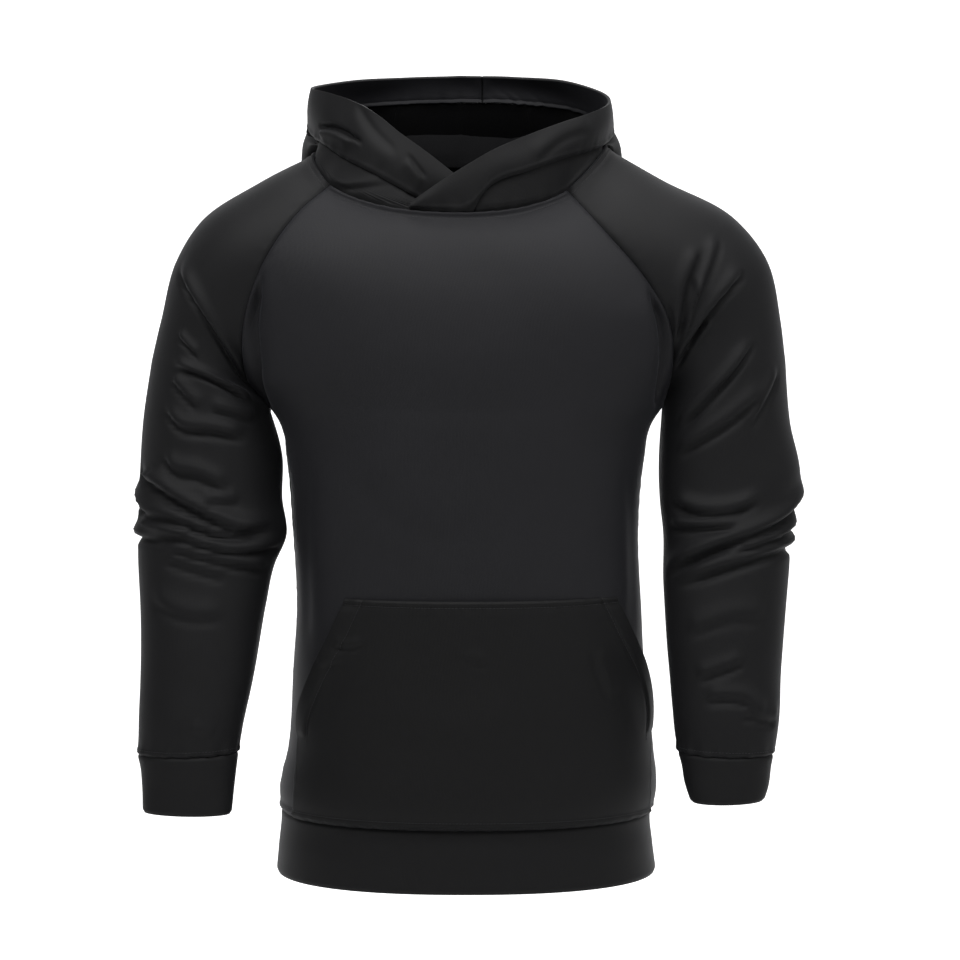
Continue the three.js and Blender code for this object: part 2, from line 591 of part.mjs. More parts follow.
function normalsOf(sheet) {
  const normals = sheet.points.map(() => new THREE.Vector3());
  for (const [a, b, c] of sheet.faces) {
    const edge1 = sheet.points[b].clone().sub(sheet.points[a]);
    const edge2 = sheet.points[c].clone().sub(sheet.points[a]);
    const cross = edge1.cross(edge2);
    [a, b, c].forEach((id) => normals[id].add(cross));
  }
  return normals.map((normal) => normal.normalize());
}

const keyOf = (point) => [point.x, point.y, point.z].map((value) => value.toFixed(2)).join(' ');

// Points that several pieces share take one normal, so that their walls meet in a mitre
function seamNormals(sheets) {
  const shared = new Map();
  for (const sheet of sheets) {
    sheet.points.forEach((point, id) => {
      const key = keyOf(point);
      if (!shared.has(key)) shared.set(key, new THREE.Vector3());
      shared.get(key).add(sheet.normals[id]);
    });
  }
  for (const sheet of sheets) {
    sheet.mitres = sheet.points.map((point) => shared.get(keyOf(point)).clone().normalize());
  }
}

// A wall of cloth: the sheet, eased back from its seams, its copy inside and the cut edges
function wallOf(sheet, thickness) {
  const used = new Map();
  for (const face of sheet.faces) {
    face.forEach((a, i) => {
      const b = face[(i + 1) % 3];
      used.set(`${a} ${b}`, [a, b]);
    });
  }
  const edges = [...used.values()].filter(([a, b]) => !used.has(`${b} ${a}`));
  const inward = sheet.points.map(() => []);
  for (const [a, b] of edges) {
    const run = sheet.points[b].clone().sub(sheet.points[a]).normalize();
    for (const id of [a, b]) inward[id].push(sheet.normals[id].clone().cross(run).normalize());
  }
  const outer = sheet.points.map((point, id) => {
    if (inward[id].length === 0) return point.clone();
    const [one, other] = inward[id];
    const tight = clamp(sheet.normals[id].dot(sheet.mitres[id]), SHARPEST_SEAM, 1);
    const corner = Math.max(1 + one.dot(other), CORNER_LIMIT);
    return point.clone().addScaledVector(one.clone().add(other), SEAM_EASE / tight / corner);
  });
  const inner = outer.map((point, id) => {
    const match = sheet.normals[id].dot(sheet.mitres[id]);
    const share = ease(MITRE_FROM, MITRE_FULL, match);
    const direction = sheet.normals[id].clone().lerp(sheet.mitres[id], share).normalize();
    return point.clone().addScaledVector(direction, -thickness);
  });
  const count = outer.length;
  const index = [];
  for (const [a, b, c] of sheet.faces) index.push(a, b, c, count + a, count + c, count + b);
  for (const [a, b] of edges) index.push(a, count + a, count + b, a, count + b, b);
  const geometry = new THREE.BufferGeometry();
  const position = [...outer, ...inner].flatMap((point) => point.toArray());
  geometry.setAttribute('position', new THREE.Float32BufferAttribute(position, 3));
  geometry.setIndex(index);
  geometry.computeVertexNormals();
  return geometry;
}

function clothMaterial(colour) {
  return new THREE.MeshStandardMaterial({
    color: colour,
    roughness: ROUGHNESS,
    metalness: 0,
    side: THREE.DoubleSide,
  });
}

// Panels of the body and sleeves
const rows = {
  front: panelRows('front', STEPS.torso),
  back: panelRows('back', STEPS.back),
  sleeve_left: sleeveRows('left'),
  sleeve_right: sleeveRows('right'),
  cuff_left: cuffRows('left'),
  cuff_right: cuffRows('right'),
  hem_band: hemRows(),
  pocket: pocketRows(),
};

// Panels of the hood, cut along the neck seam
const neck = neckSeam(rows);
const turns = neck.map(({ point, around }, i) => {
  const side = i < neck.length / 2 ? 'left' : 'right';
  let angle = around;
  if (side === 'right' && angle < 0) angle += 360;
  if (side === 'left' && angle > BACK_OF_NECK + CROSSES_BY) angle -= 360;
  return { point, around: angle, side };
});
const between = (low, high) => turns.filter(({ around }) => around >= low && around <= high);
const nearest = (angle) => turns.reduce((best, turn) => (
  Math.abs(turn.around - angle) < Math.abs(best.around - angle) ? turn : best));
const stripLeft = nearest(CENTRE_STRIP_AT).around;
const stripRight = nearest(180 - CENTRE_STRIP_AT).around;
const bandSeam = nearest(BANDS_JOIN_AT).around;
rows.hood_side_left = hoodPanel(between(OVER_PANEL_END, stripLeft));
rows.hood_centre = hoodPanel(between(stripLeft, stripRight));
rows.hood_side_right = hoodPanel(between(stripRight, 180 - UNDER_PANEL_END));
rows.hood_band_left = hoodBand(between(OVER_END, bandSeam));
rows.hood_band_right = hoodBand(between(bandSeam, 180 - UNDER_END));

const never = () => false;
const always = () => true;
const belowArmhole = (row) => row < SLEEVE_ROWS.length;
const single = { thickness: CLOTH, colour: COLOURS.cloth };
const doubled = { thickness: DOUBLED, colour: COLOURS.rib };
const PIECES = [
  { name: 'front', group: 'body', closes: never, flip: true, ...single },
  { name: 'back', group: 'body', closes: never, flip: false, ...single },
  { name: 'hem_band', group: 'body', closes: always, flip: true, ...doubled },
  { name: 'pocket', group: 'body', closes: never, flip: true, ...single },
  { name: 'sleeve_left', group: 'arm_left', closes: belowArmhole, flip: false, ...single },
  { name: 'cuff_left', group: 'arm_left', closes: always, flip: false, ...doubled },
  { name: 'sleeve_right', group: 'arm_right', closes: belowArmhole, flip: true, ...single },
  { name: 'cuff_right', group: 'arm_right', closes: always, flip: true, ...doubled },
  { name: 'hood_side_left', group: 'hood', closes: never, flip: true, ...single },
  { name: 'hood_side_right', group: 'hood', closes: never, flip: true, ...single },
  { name: 'hood_centre', group: 'hood', closes: never, flip: true, ...single },
  { name: 'hood_band_left', group: 'hood', closes: never, flip: true, ...doubled },
  { name: 'hood_band_right', group: 'hood', closes: never, flip: true, ...doubled },
];

const sheets = PIECES.map((piece) => sheetOf(rows[piece.name], piece.closes, piece.flip));
sheets.forEach((sheet) => { sheet.normals = normalsOf(sheet); });
seamNormals(sheets);
for (const sheet of sheets) {
  sheet.points = sheet.points.map((point, id) => (
    point.clone().addScaledVector(sheet.mitres[id], foldHeight(point, sheet.mitres[id]))));
}
const garment = new THREE.Group();
garment.name = 'hoodie';
garment.position.set(-HELD_AT.x, -HELD_AT.y, -HELD_AT.z);
for (const name of ['body', 'arm_left', 'arm_right', 'hood']) {
  const assembly = new THREE.Group();
  assembly.name = `${name}_pieces`;
  PIECES.forEach((piece, i) => {
    if (piece.group !== name) return;
    const mesh = new THREE.Mesh(wallOf(sheets[i], piece.thickness), clothMaterial(piece.colour));
    mesh.name = piece.name;
    assembly.add(mesh);
  });
  garment.add(assembly);
}

export default garment;
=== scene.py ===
import bpy
import numpy as np
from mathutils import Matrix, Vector


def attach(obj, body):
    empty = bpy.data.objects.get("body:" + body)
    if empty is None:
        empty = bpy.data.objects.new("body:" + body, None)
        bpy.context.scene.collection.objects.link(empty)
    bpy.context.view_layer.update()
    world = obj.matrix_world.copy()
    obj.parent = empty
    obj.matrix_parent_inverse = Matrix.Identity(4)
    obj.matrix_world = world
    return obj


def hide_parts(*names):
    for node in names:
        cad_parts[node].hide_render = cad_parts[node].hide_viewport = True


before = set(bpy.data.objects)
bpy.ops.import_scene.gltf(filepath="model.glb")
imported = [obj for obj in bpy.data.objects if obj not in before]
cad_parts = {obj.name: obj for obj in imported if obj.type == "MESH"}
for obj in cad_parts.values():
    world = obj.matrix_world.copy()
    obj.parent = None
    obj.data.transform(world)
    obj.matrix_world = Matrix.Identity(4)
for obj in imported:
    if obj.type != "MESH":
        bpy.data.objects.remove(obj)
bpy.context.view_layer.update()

# Front
# One panel of brushed cotton fleece, about 2 mm thick, cut from the hem band's seam up to the neck
# between slanted raglan edges. It is overlocked to the back, the sleeves and the hood.

# Sizes are in millimetres: x to the wearer's left, y to the back, z up from the lowest edge.
HELD_HEIGHT = 690  # of the frame's origin above the lowest edge
ROUNDNESS = 2.3  # 2 is an ellipse, more is squarer
CLOTH = 2.0
HEM_SEAM = 60
UNDERARM = 454
POINTS_APART = 3.4

TORSO_COLUMNS = ("z", "min_x", "max_x", "front", "back")
TORSO = [
    (0, -185, 187, -125, 118),
    (26, -182.5, 183.5, -124, 117),
    (60, -180, 181.5, -121.5, 114.5),
    (72, -181.5, 184.5, -124.5, 116),
    (125, -171.5, 182, -123, 112),
    (204, -167, 173.5, -119, 108),
    (263, -164, 171.5, -117, 106),
    (330, -167, 169, -117, 107),
    (400, -173, 173, -120, 113),
    (439, -181, 181, -122, 118),
    (454, -191, 191, -122, 120),
]
# Raglan seams from the underarm to the neck, as x, y, z
RAGLAN = {
    "left_front": [
        (191, 0, 454),
        (198, -36, 484),
        (198, -62, 515),
        (192, -76, 540),
        (172, -86, 573),
        (131, -85, 621),
        (97, -62, 659),
    ],
    "right_front": [
        (-191, 0, 454),
        (-209, -34, 480),
        (-212, -58, 508),
        (-207, -76, 543),
        (-184, -90, 599),
        (-155, -81, 639),
        (-127, -62, 664),
    ],
    "left_back": [
        (191, 0, 454),
        (201, 38, 490),
        (190, 72, 545),
        (160, 85, 600),
        (121, 76, 652),
        (97, 58, 686),
    ],
    "right_back": [
        (-191, 0, 454),
        (-206, 38, 490),
        (-196, 72, 545),
        (-166, 85, 600),
        (-125, 76, 652),
        (-99, 58, 686),
    ],
}
MIDDLE_COLUMNS = ("up", "y", "z")
MID_FRONT = [(0, -122, 454), (0.3, -128, 508), (0.6, -125, 571), (0.85, -112, 616), (1, -98, 637)]


def ease(low, high, value):
    """0 below low, 1 above high and a soft step between."""
    share = np.clip((value - low) / (high - low), 0, 1)
    return share * share * (3 - 2 * share)


def smooth(keys, values):
    """A curve through the values, which may be points, at rising keys."""
    keys = np.asarray(keys, float)
    values = np.asarray(values, float)
    flat = values.reshape(len(keys), -1)
    gaps = np.diff(keys)[:, None]
    rise = np.diff(flat, axis=0) / gaps
    inner = (rise[:-1] * gaps[1:] + rise[1:] * gaps[:-1]) / (gaps[:-1] + gaps[1:])
    slopes = np.concatenate([rise[:1], inner, rise[-1:]])

    def curve(key):
        key = np.asarray(key, float)
        i = np.clip(np.searchsorted(keys, key) - 1, 0, len(keys) - 2)
        span = (keys[i + 1] - keys[i])[..., None]
        t = np.clip((key - keys[i])[..., None] / span, 0, 1)
        found = flat[i] * (2 * t**3 - 3 * t**2 + 1) + slopes[i] * span * (t**3 - 2 * t**2 + t)
        found += flat[i + 1] * (3 * t**2 - 2 * t**3) + slopes[i + 1] * span * (t**3 - t**2)
        return found.reshape(key.shape + values.shape[1:])

    return curve


def table(columns, rows):
    """A table of sizes read at any value of its first column."""
    rows = sorted(rows)
    keys = [row[0] for row in rows]
    curves = {name: smooth(keys, [row[i] for row in rows]) for i, name in enumerate(columns)}
    return lambda key: {name: curve(key) for name, curve in curves.items()}


def route(points):
    """A curve through points, read by the share of its length."""
    points = np.asarray(points, float)
    steps = np.linalg.norm(np.diff(points, axis=0), axis=1)
    lengths = np.concatenate([[0], np.cumsum(steps)])
    return smooth(lengths / lengths[-1], points)


def sideways(angle):
    """Sideways reach of the rounded section at an angle from its side."""
    return np.sign(np.cos(angle)) * np.abs(np.cos(angle)) ** (2 / ROUNDNESS)


def outward(angle):
    """Outward reach of the rounded section."""
    return np.abs(np.sin(angle)) ** (2 / ROUNDNESS)


torso_at = table(TORSO_COLUMNS, TORSO)
raglan = {name: route(points) for name, points in RAGLAN.items()}
middle = {"front": table(MIDDLE_COLUMNS, MID_FRONT)}


def torso_points(face, z, share):
    """Rows of the front or back below the underarm, from the wearer's left to the right."""
    size = torso_at(z)
    angle = np.pi * share
    x = (size["max_x"] - size["min_x"]) / 2 * sideways(angle) + (size["max_x"] + size["min_x"]) / 2
    y = size[face] * outward(angle)
    return np.stack([x, y, z + 0 * x], axis=-1)


DEEPEST_EDGE = 0.95  # of the middle's depth, so that a row never closes


def yoke_points(face, up, share):
    """Rows above the underarm, between the two raglan seams."""
    left = raglan["left_" + face](up)
    right = raglan["right_" + face](up)
    mid = middle[face](up)
    reach = np.clip(np.abs((left[..., 1] + right[..., 1]) / 2 / mid["y"]), 0, DEEPEST_EDGE)
    opening = np.arcsin(reach ** (ROUNDNESS / 2))
    angle = opening + (np.pi - 2 * opening) * share
    across = (1 - sideways(angle) / sideways(opening)) / 2
    bulge = (outward(angle) - outward(opening)) / (1 - outward(opening))
    centre = (left + right) / 2
    crown = np.stack([centre[..., 0], mid["y"], mid["z"]], axis=-1) - centre
    return left + (right - left) * across[..., None] + crown * bulge[..., None]


class Surface:
    """The outer face of a piece: rows of points run up it and columns across it. The first
    closed rows are rings. Distances to its edges and its place on the flat cloth are kept."""

    def __init__(self, points, closed=0, flip=False):
        self.points = points
        self.closed = closed
        self.flip = flip
        across = np.linalg.norm(np.diff(points, axis=1), axis=2).cumsum(axis=1)
        along = np.linalg.norm(np.diff(points, axis=0), axis=2).cumsum(axis=0)
        self.left = np.pad(across, ((0, 0), (1, 0)))
        self.right = self.left[:, -1:] - self.left
        self.bottom = np.pad(along, ((1, 0), (0, 0)))
        self.top = self.bottom[-1:] - self.bottom
        centre = self.left[:, -1:] / 2
        height = self.bottom.mean(axis=1, keepdims=True)
        self.flat = np.stack([self.left - centre, height + 0 * self.left], axis=-1)

    def normals(self):
        across = np.gradient(self.points, axis=1)
        along = np.gradient(self.points, axis=0)
        normal = np.cross(across, along) * (-1 if self.flip else 1)
        rings = normal[: self.closed]
        rings[:, 0] += rings[:, -1]
        rings[:, -1] = rings[:, 0]
        return normal / np.maximum(np.linalg.norm(normal, axis=2, keepdims=True), 1e-9)

    def lift(self, height):
        self.points = self.points + self.normals() * height[..., None]


EDGE_STEPS = np.array([0, 0.7, 1.5, 2.5, 3.8, 5.4, 7.6])  # points come closer together at the edges
EDGE_MOST = 6  # a row shorter than this many edges gets finer steps


def spread(points, apart=POINTS_APART):
    """The same rows with their points evenly apart, and closer together at both ends."""
    length = np.linalg.norm(np.diff(points, axis=1), axis=2).sum(axis=1)
    count = int(length.max() / apart)
    rows = []
    for row in points:
        steps = np.linalg.norm(np.diff(row, axis=0), axis=1)
        at = np.concatenate([[0], steps.cumsum()])
        edge = EDGE_STEPS * min(1, at[-1] / (EDGE_MOST * EDGE_STEPS[-1]))
        even = np.linspace(edge[-1], at[-1] - edge[-1], count)[1:-1]
        wanted = np.concatenate([edge, even, at[-1] - edge[::-1]])
        rows.append(np.stack([np.interp(wanted, at, row[:, k]) for k in range(3)], axis=-1))
    return np.array(rows)


def steps_between(low, high, apart=POINTS_APART, close_low=False, close_high=False):
    """Heights from low to high, closer together at an end that has a seam worked into it."""
    start = low + EDGE_STEPS if close_low else np.array([low])
    end = high - EDGE_STEPS[::-1] if close_high else np.array([high])
    count = max(int((end[0] - start[-1]) / apart), 2)
    return np.concatenate([start, np.linspace(start[-1], end[0], count)[1:-1], end])


FINE_SHARES = np.linspace(0, 1, 401)[None, :]
RAGLAN_LENGTH = 240


def panel_surface(face, flip):
    """The whole front or back."""
    heights = steps_between(HEM_SEAM, UNDERARM, close_low=True)[:-1, None]
    ups = steps_between(0, RAGLAN_LENGTH, close_high=True)[:, None] / RAGLAN_LENGTH
    lower = torso_points(face, heights, FINE_SHARES)
    upper = yoke_points(face, ups, FINE_SHARES)
    return Surface(spread(np.concatenate([lower, upper])), flip=flip)


# Each crease is drawn as a line of points over the cloth. On its left, from start to end, the
# cloth rises in a soft ridge, and along the line it sinks into a narrower trough.
CREASE_COLUMNS = ("line", "width", "ridge", "trough")
CREASE_FADES = 0.2  # share of its length over which each end dies away
PAST_END_FADES = (0.5, 3)  # in widths beyond its ends
LINE_POINTS = 24
RIDGE_AT, TROUGH_AT = 0.9, -0.1  # in widths to the left of the line
TROUGH_WIDTH = 0.45  # in widths of the ridge
FAR = 1e6
FACING = 0.02  # least turn towards the viewer of a point that is seen


def front_line(*spots):
    """A line drawn in the front view, as x and z."""
    return [("front", x, z) for x, z in spots]


def back_line(*spots):
    """A line drawn in the back view, as x and z."""
    return [("back", x, z) for x, z in spots]


def side_line(side, *spots):
    """A line drawn in the view from the left or right, as y and z."""
    return [(side, y, z) for y, z in spots]


def on_flat(surface, normals, seen_from, across, z):
    """Where a point seen from one side lies on the flat cloth."""
    if seen_from in ("front", "back"):
        facing = normals[..., 1] * (-1 if seen_from == "front" else 1)
        seen = surface.points[..., 0]
    else:
        facing = normals[..., 0] * (1 if seen_from == "left" else -1)
        seen = surface.points[..., 1]
    distance = (seen - across) ** 2 + (surface.points[..., 2] - z) ** 2
    distance = np.where(facing > FACING, distance, FAR + distance)
    return surface.flat[np.unravel_index(distance.argmin(), distance.shape)]


def crease_height(surface, creases):
    """How far the creases raise each point of a piece."""
    normals = surface.normals()
    total = np.zeros(surface.points.shape[:2])
    for row in creases:
        crease = dict(zip(CREASE_COLUMNS, row))
        spots = [on_flat(surface, normals, view, a, z) for view, a, z in crease["line"]]
        line = route(spots)(np.linspace(0, 1, LINE_POINTS))
        width = crease["width"]
        steps = np.diff(line, axis=0)
        lengths = np.linalg.norm(steps, axis=1)
        starts = np.concatenate([[0], lengths.cumsum()])
        nearest = np.full(total.shape, FAR)
        beside = np.zeros(total.shape)
        along = np.zeros(total.shape)
        for i, (step, length) in enumerate(zip(steps, lengths)):
            offset = surface.flat - line[i]
            run = offset @ step / length
            inside = np.clip(run, 0, length)
            off = np.cross(np.broadcast_to(step / length, offset.shape), offset)
            far = np.hypot(off, run - inside)
            closer = far < nearest
            nearest = np.where(closer, far, nearest)
            beside = np.where(closer, off, beside)
            along = np.where(closer, (starts[i] + inside) / starts[-1], along)
        side = np.where(beside >= 0, 1, -1) * nearest * (-1 if surface.flip else 1)
        fade = ease(0, CREASE_FADES, along) * (1 - ease(1 - CREASE_FADES, 1, along))
        fade = fade * (1 - ease(*PAST_END_FADES, np.abs(nearest - np.abs(beside)) / width))
        ridge = np.exp(-(((side - width * RIDGE_AT) / width) ** 2))
        trough = np.exp(-(((side - width * TROUGH_AT) / (TROUGH_WIDTH * width)) ** 2))
        total += fade * (crease["ridge"] * ridge - crease["trough"] * trough)
    return total


def seam_roll(distance, depth=1.5, reach=1.7):
    """Cloth rolls down into a seam."""
    return -depth * np.exp(-((distance / reach) ** 2))


SEAM_SINKS = 1.5
SEAM_GROOVE = 1.8
SEAM_HOLDS = 7.0  # how far from a seam the cloth starts to hang freely
SEAM_DRAWN_TO = np.array([-0.25, -1.0, 0.0])  # towards the inside of the garment
SEAM_DRAWN_DOWN = 0.2


def sewn(surface, before, distance):
    """Keeps the edges of neighbouring pieces on one seam line, sunk a little into the garment."""
    toward = before * SEAM_DRAWN_TO
    toward[..., 2] = -SEAM_DRAWN_DOWN * np.abs(before[..., 1])
    toward /= np.linalg.norm(toward, axis=-1, keepdims=True)
    line = before + toward * (SEAM_SINKS * np.exp(-((distance / SEAM_GROOVE) ** 2)))[..., None]
    surface.points = line + (surface.points - line) * ease(0, SEAM_HOLDS, distance)[..., None]


RIPPLE_COLUMNS = ("length", "wander", "wander_length")
RIPPLES = [(1.9, 2, 11), (3.1, 1.3, 17)]


def pucker(along, distance, size=0.3, reach=7.0):
    """Small ripples where the sewing draws the cloth in."""
    ripples = 0
    for row in RIPPLES:
        ripple = dict(zip(RIPPLE_COLUMNS, row))
        wander = ripple["wander"] * np.sin(along / ripple["wander_length"])
        ripples = ripples + np.sin(along / ripple["length"] + wander)
    return size * ripples * np.exp(-((distance / reach) ** 2))


def ridge_along(distance, at, height, reach):
    """A raised line at a distance from an edge."""
    return height * np.exp(-(((distance - at) / reach) ** 2))


WAVER_FREE = 12.0  # how far from its sewn ends the cloth hangs freely


def waver(surface, size, length, turn=0.0):
    """Slight unevenness of hanging cloth, none at its sewn ends."""
    u = surface.flat[..., 0] / length + turn
    v = surface.flat[..., 1] / length + turn * 2
    waves = np.sin(2.1 * u + 1.3 * np.sin(1.7 * v)) + np.sin(1.4 * v + 1.1 * np.sin(1.9 * u + 1))
    return size * waves / 2 * ease(0, WAVER_FREE, np.minimum(surface.top, surface.bottom))


def add_piece(name, mesh):
    """The mesh as a piece of the garment."""
    piece = bpy.data.objects.new(name, mesh)
    bpy.context.scene.collection.objects.link(piece)
    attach(piece, "root")
    return piece


def cloth(name, surface, thickness, materials):
    """A thin shell on the surface. materials are those of its outer and inner face."""
    points = surface.points
    normals = surface.normals()
    rows, columns = points.shape[:2]
    raw = np.arange(rows * columns).reshape(rows, columns)
    ids = raw.copy()
    ids[: surface.closed, -1] = ids[: surface.closed, 0]

    def quads_of(grid):
        quads = np.stack([grid[:-1, :-1], grid[:-1, 1:], grid[1:, 1:], grid[1:, :-1]], axis=-1)
        quads = quads.reshape(-1, 4)
        return quads[:, ::-1] if surface.flip else quads

    faces, corners = quads_of(ids), quads_of(raw)
    count = rows * columns
    starts = faces.ravel()
    ends = np.roll(faces, -1, axis=1).ravel()
    seen = starts.astype(np.int64) * count + ends
    back = ends.astype(np.int64) * count + starts
    rim = ~np.isin(seen, back)
    a, b = starts[rim], ends[rim]
    raw_a, raw_b = corners.ravel()[rim], np.roll(corners, -1, axis=1).ravel()[rim]
    all_faces = np.concatenate(
        [faces, faces[:, ::-1] + count, np.stack([b, a, a + count, b + count], axis=-1)]
    )
    all_corners = np.concatenate(
        [corners, corners[:, ::-1], np.stack([raw_b, raw_a, raw_a, raw_b], axis=-1)]
    )
    both = np.concatenate([points.reshape(-1, 3), (points - normals * thickness).reshape(-1, 3)])
    used, index = np.unique(all_faces, return_inverse=True)
    placed = both[used]
    placed[:, 2] -= HELD_HEIGHT
    mesh = bpy.data.meshes.new(name)
    mesh.from_pydata((placed / 1000).tolist(), [], index.reshape(all_faces.shape).tolist())
    mesh.polygons.foreach_set("use_smooth", np.ones(len(mesh.polygons), bool))
    layer = mesh.uv_layers.new(name="cloth")
    layer.data.foreach_set("uv", (surface.flat / 1000).reshape(-1, 2)[all_corners.ravel()].ravel())
    for material in materials:
        mesh.materials.append(material)
    within = np.zeros(len(all_faces), int)
    within[len(faces) : 2 * len(faces)] = len(materials) - 1
    mesh.polygons.foreach_set("material_index", within)
    return add_piece(name, mesh)


def line_at(surface, edge, offset, start=0.0, end=1.0):
    """Points and normals on a piece along a line parallel to one of its edges."""
    distance = getattr(surface, edge)
    points, normals = surface.points, surface.normals()
    if edge in ("left", "right"):
        distance, points, normals = distance.T, points.swapaxes(0, 1), normals.swapaxes(0, 1)
    if edge in ("top", "right"):
        distance, points, normals = distance[::-1], points[::-1], normals[::-1]
    both = np.concatenate([points, normals], axis=-1)
    lines = []
    for column, at in enumerate(distance.T):
        lines.append([np.interp(offset, at, both[:, column, k]) for k in range(6)])
    lines = np.array(lines)
    first, last = int(start * len(lines)), int(np.ceil(end * len(lines)))
    return lines[first:last, :3], lines[first:last, 3:]


STITCH_LENGTH = 2.3
STITCH_GAP = 0.9
THREAD_THICK = 0.45
STITCH_SIDES = 5
STITCH_RINGS = ((-0.5, 0.35), (-0.38, 0.9), (0.0, 1.0), (0.38, 0.9), (0.5, 0.35))  # place and thickness
STITCH_STANDS = 0.28  # thread thicknesses from the cloth to its middle
STITCH_END_SINKS = 0.25


def stitches(name, lines, material):
    """Rows of thread lying on the cloth: one short tapered length for each stitch."""
    length, gap, thick = STITCH_LENGTH, STITCH_GAP, THREAD_THICK
    verts, faces = [], []
    for points, normals in lines:
        steps = np.linalg.norm(np.diff(points, axis=0), axis=1)
        at = np.concatenate([[0], steps.cumsum()])
        middles = np.arange(length, at[-1] - length / 2, length + gap)
        tangent_points = np.gradient(points, axis=0)
        for middle_at in middles:
            place, normal, along = (
                np.array([np.interp(middle_at, at, field[:, k]) for k in range(3)])
                for field in (points, normals, tangent_points)
            )
            along /= np.linalg.norm(along)
            normal = normal - along * (normal @ along)
            normal /= np.linalg.norm(normal)
            side = np.cross(along, normal)
            start = len(verts)
            for share, size in STITCH_RINGS:
                sunk = thick * STITCH_END_SINKS * (abs(share) == 0.5)
                centre = place + along * share * length + normal * (thick * STITCH_STANDS - sunk)
                for k in range(STITCH_SIDES):
                    turn = 2 * np.pi * k / STITCH_SIDES
                    verts.append(centre + (side * np.cos(turn) + normal * np.sin(turn)) * thick / 2 * size)
            for ring in range(len(STITCH_RINGS) - 1):
                for k in range(STITCH_SIDES):
                    a = start + ring * STITCH_SIDES + k
                    b = start + ring * STITCH_SIDES + (k + 1) % STITCH_SIDES
                    faces.append((a, b, b + STITCH_SIDES, a + STITCH_SIDES))
            faces.append(tuple(start + k for k in range(STITCH_SIDES))[::-1])
            last = start + (len(STITCH_RINGS) - 1) * STITCH_SIDES
            faces.append(tuple(last + k for k in range(STITCH_SIDES)))
    placed = np.array(verts)
    placed[:, 2] -= HELD_HEIGHT
    mesh = bpy.data.meshes.new(name)
    mesh.from_pydata((placed / 1000).tolist(), [], faces)
    mesh.polygons.foreach_set("use_smooth", [True] * len(mesh.polygons))
    mesh.materials.append(material)
    return add_piece(name, mesh)


class Wire:
    """A value in a material's nodes; sums and products of wires make Math nodes."""

    def __init__(self, tree, socket):
        self.tree = tree
        self.socket = socket

    @classmethod
    def node(cls, tree, kind, settings=None, inputs=None, output=0):
        made = tree.nodes.new(kind)
        for name, value in (settings or {}).items():
            setattr(made, name, value)
        for name, value in (inputs or {}).items():
            if isinstance(value, Wire):
                tree.links.new(value.socket, made.inputs[name])
            else:
                made.inputs[name].default_value = value
        return cls(tree, made.outputs[output]) if made.outputs else None

    def math(self, operation, other=0.0):
        return Wire.node(self.tree, "ShaderNodeMath", {"operation": operation}, {0: self, 1: other})

    def __add__(self, other):
        return self.math("ADD", other)

    __radd__ = __add__

    def __mul__(self, other):
        return self.math("MULTIPLY", other)

    __rmul__ = __mul__


WALE = 1.3  # between the knit's columns of stitches
COURSE = 1.0  # between its rows
WALE_HEIGHT, COURSE_HEIGHT = 0.05, 0.03
LEAN = 3.0  # how far each row of stitches bends round its columns
FUZZ_SCALE, CLOUD_SCALE = 900.0, 14.0  # per metre
DARKEST, CLOUD_TONE, FUZZ_TONE = 0.71, 0.28, 0.3
TURN = 2 * np.pi
SHEEN_ROUGH = 0.4
SHEEN_TINT = (0.8, 0.82, 0.9, 1.0)


def fleece(name, colour, rough=0.62, sheen=0.06, shine=0.34, nap=0.09):
    """Knitted fleece: a smooth face of fine stitches, or a brushed inside without shine."""
    material = bpy.data.materials.new(name)
    material.use_nodes = True
    tree = material.node_tree
    tree.nodes.clear()

    def make(kind, settings=None, inputs=None, output=0):
        return Wire.node(tree, kind, settings, inputs, output)

    def noise(scale, noise_rough):
        inputs = {"Vector": place, "Scale": scale, "Detail": 3.0, "Roughness": noise_rough}
        return make("ShaderNodeTexNoise", None, inputs)

    place = make("ShaderNodeUVMap", {"uv_map": "cloth"})
    u = make("ShaderNodeSeparateXYZ", None, {0: place}, "X")
    v = make("ShaderNodeSeparateXYZ", None, {0: place}, "Y")
    wale = (u * (TURN * 1000 / WALE)).math("SINE") * 0.5
    course = (v * (TURN * 1000 / COURSE) + wale.math("ABSOLUTE") * LEAN).math("SINE") * 0.5
    fuzz = noise(FUZZ_SCALE, 0.6)
    cloud = noise(CLOUD_SCALE, 0.5)
    height = wale * WALE_HEIGHT + course * COURSE_HEIGHT + fuzz * nap
    bump = make("ShaderNodeBump", None, {"Strength": 1.0, "Distance": 0.001, "Height": height})
    tone = cloud * CLOUD_TONE + fuzz * FUZZ_TONE + DARKEST
    grey = make("ShaderNodeCombineColor", None, {0: tone, 1: tone, 2: tone})
    # Sockets 6 and 7 of this node take its two colours, and 2 gives the mixed one
    base = make(
        "ShaderNodeMix",
        {"data_type": "RGBA", "blend_type": "MULTIPLY"},
        {"Factor": 1.0, 6: (*colour, 1.0), 7: grey},
        2,
    )
    shader = make(
        "ShaderNodeBsdfPrincipled",
        None,
        {
            "Base Color": base,
            "Roughness": rough,
            "Specular IOR Level": shine,
            "Sheen Weight": sheen,
            "Sheen Roughness": SHEEN_ROUGH,
            "Sheen Tint": SHEEN_TINT,
            "Normal": bump,
        },
    )
    make("ShaderNodeOutputMaterial", None, {"Surface": shader})
    return material


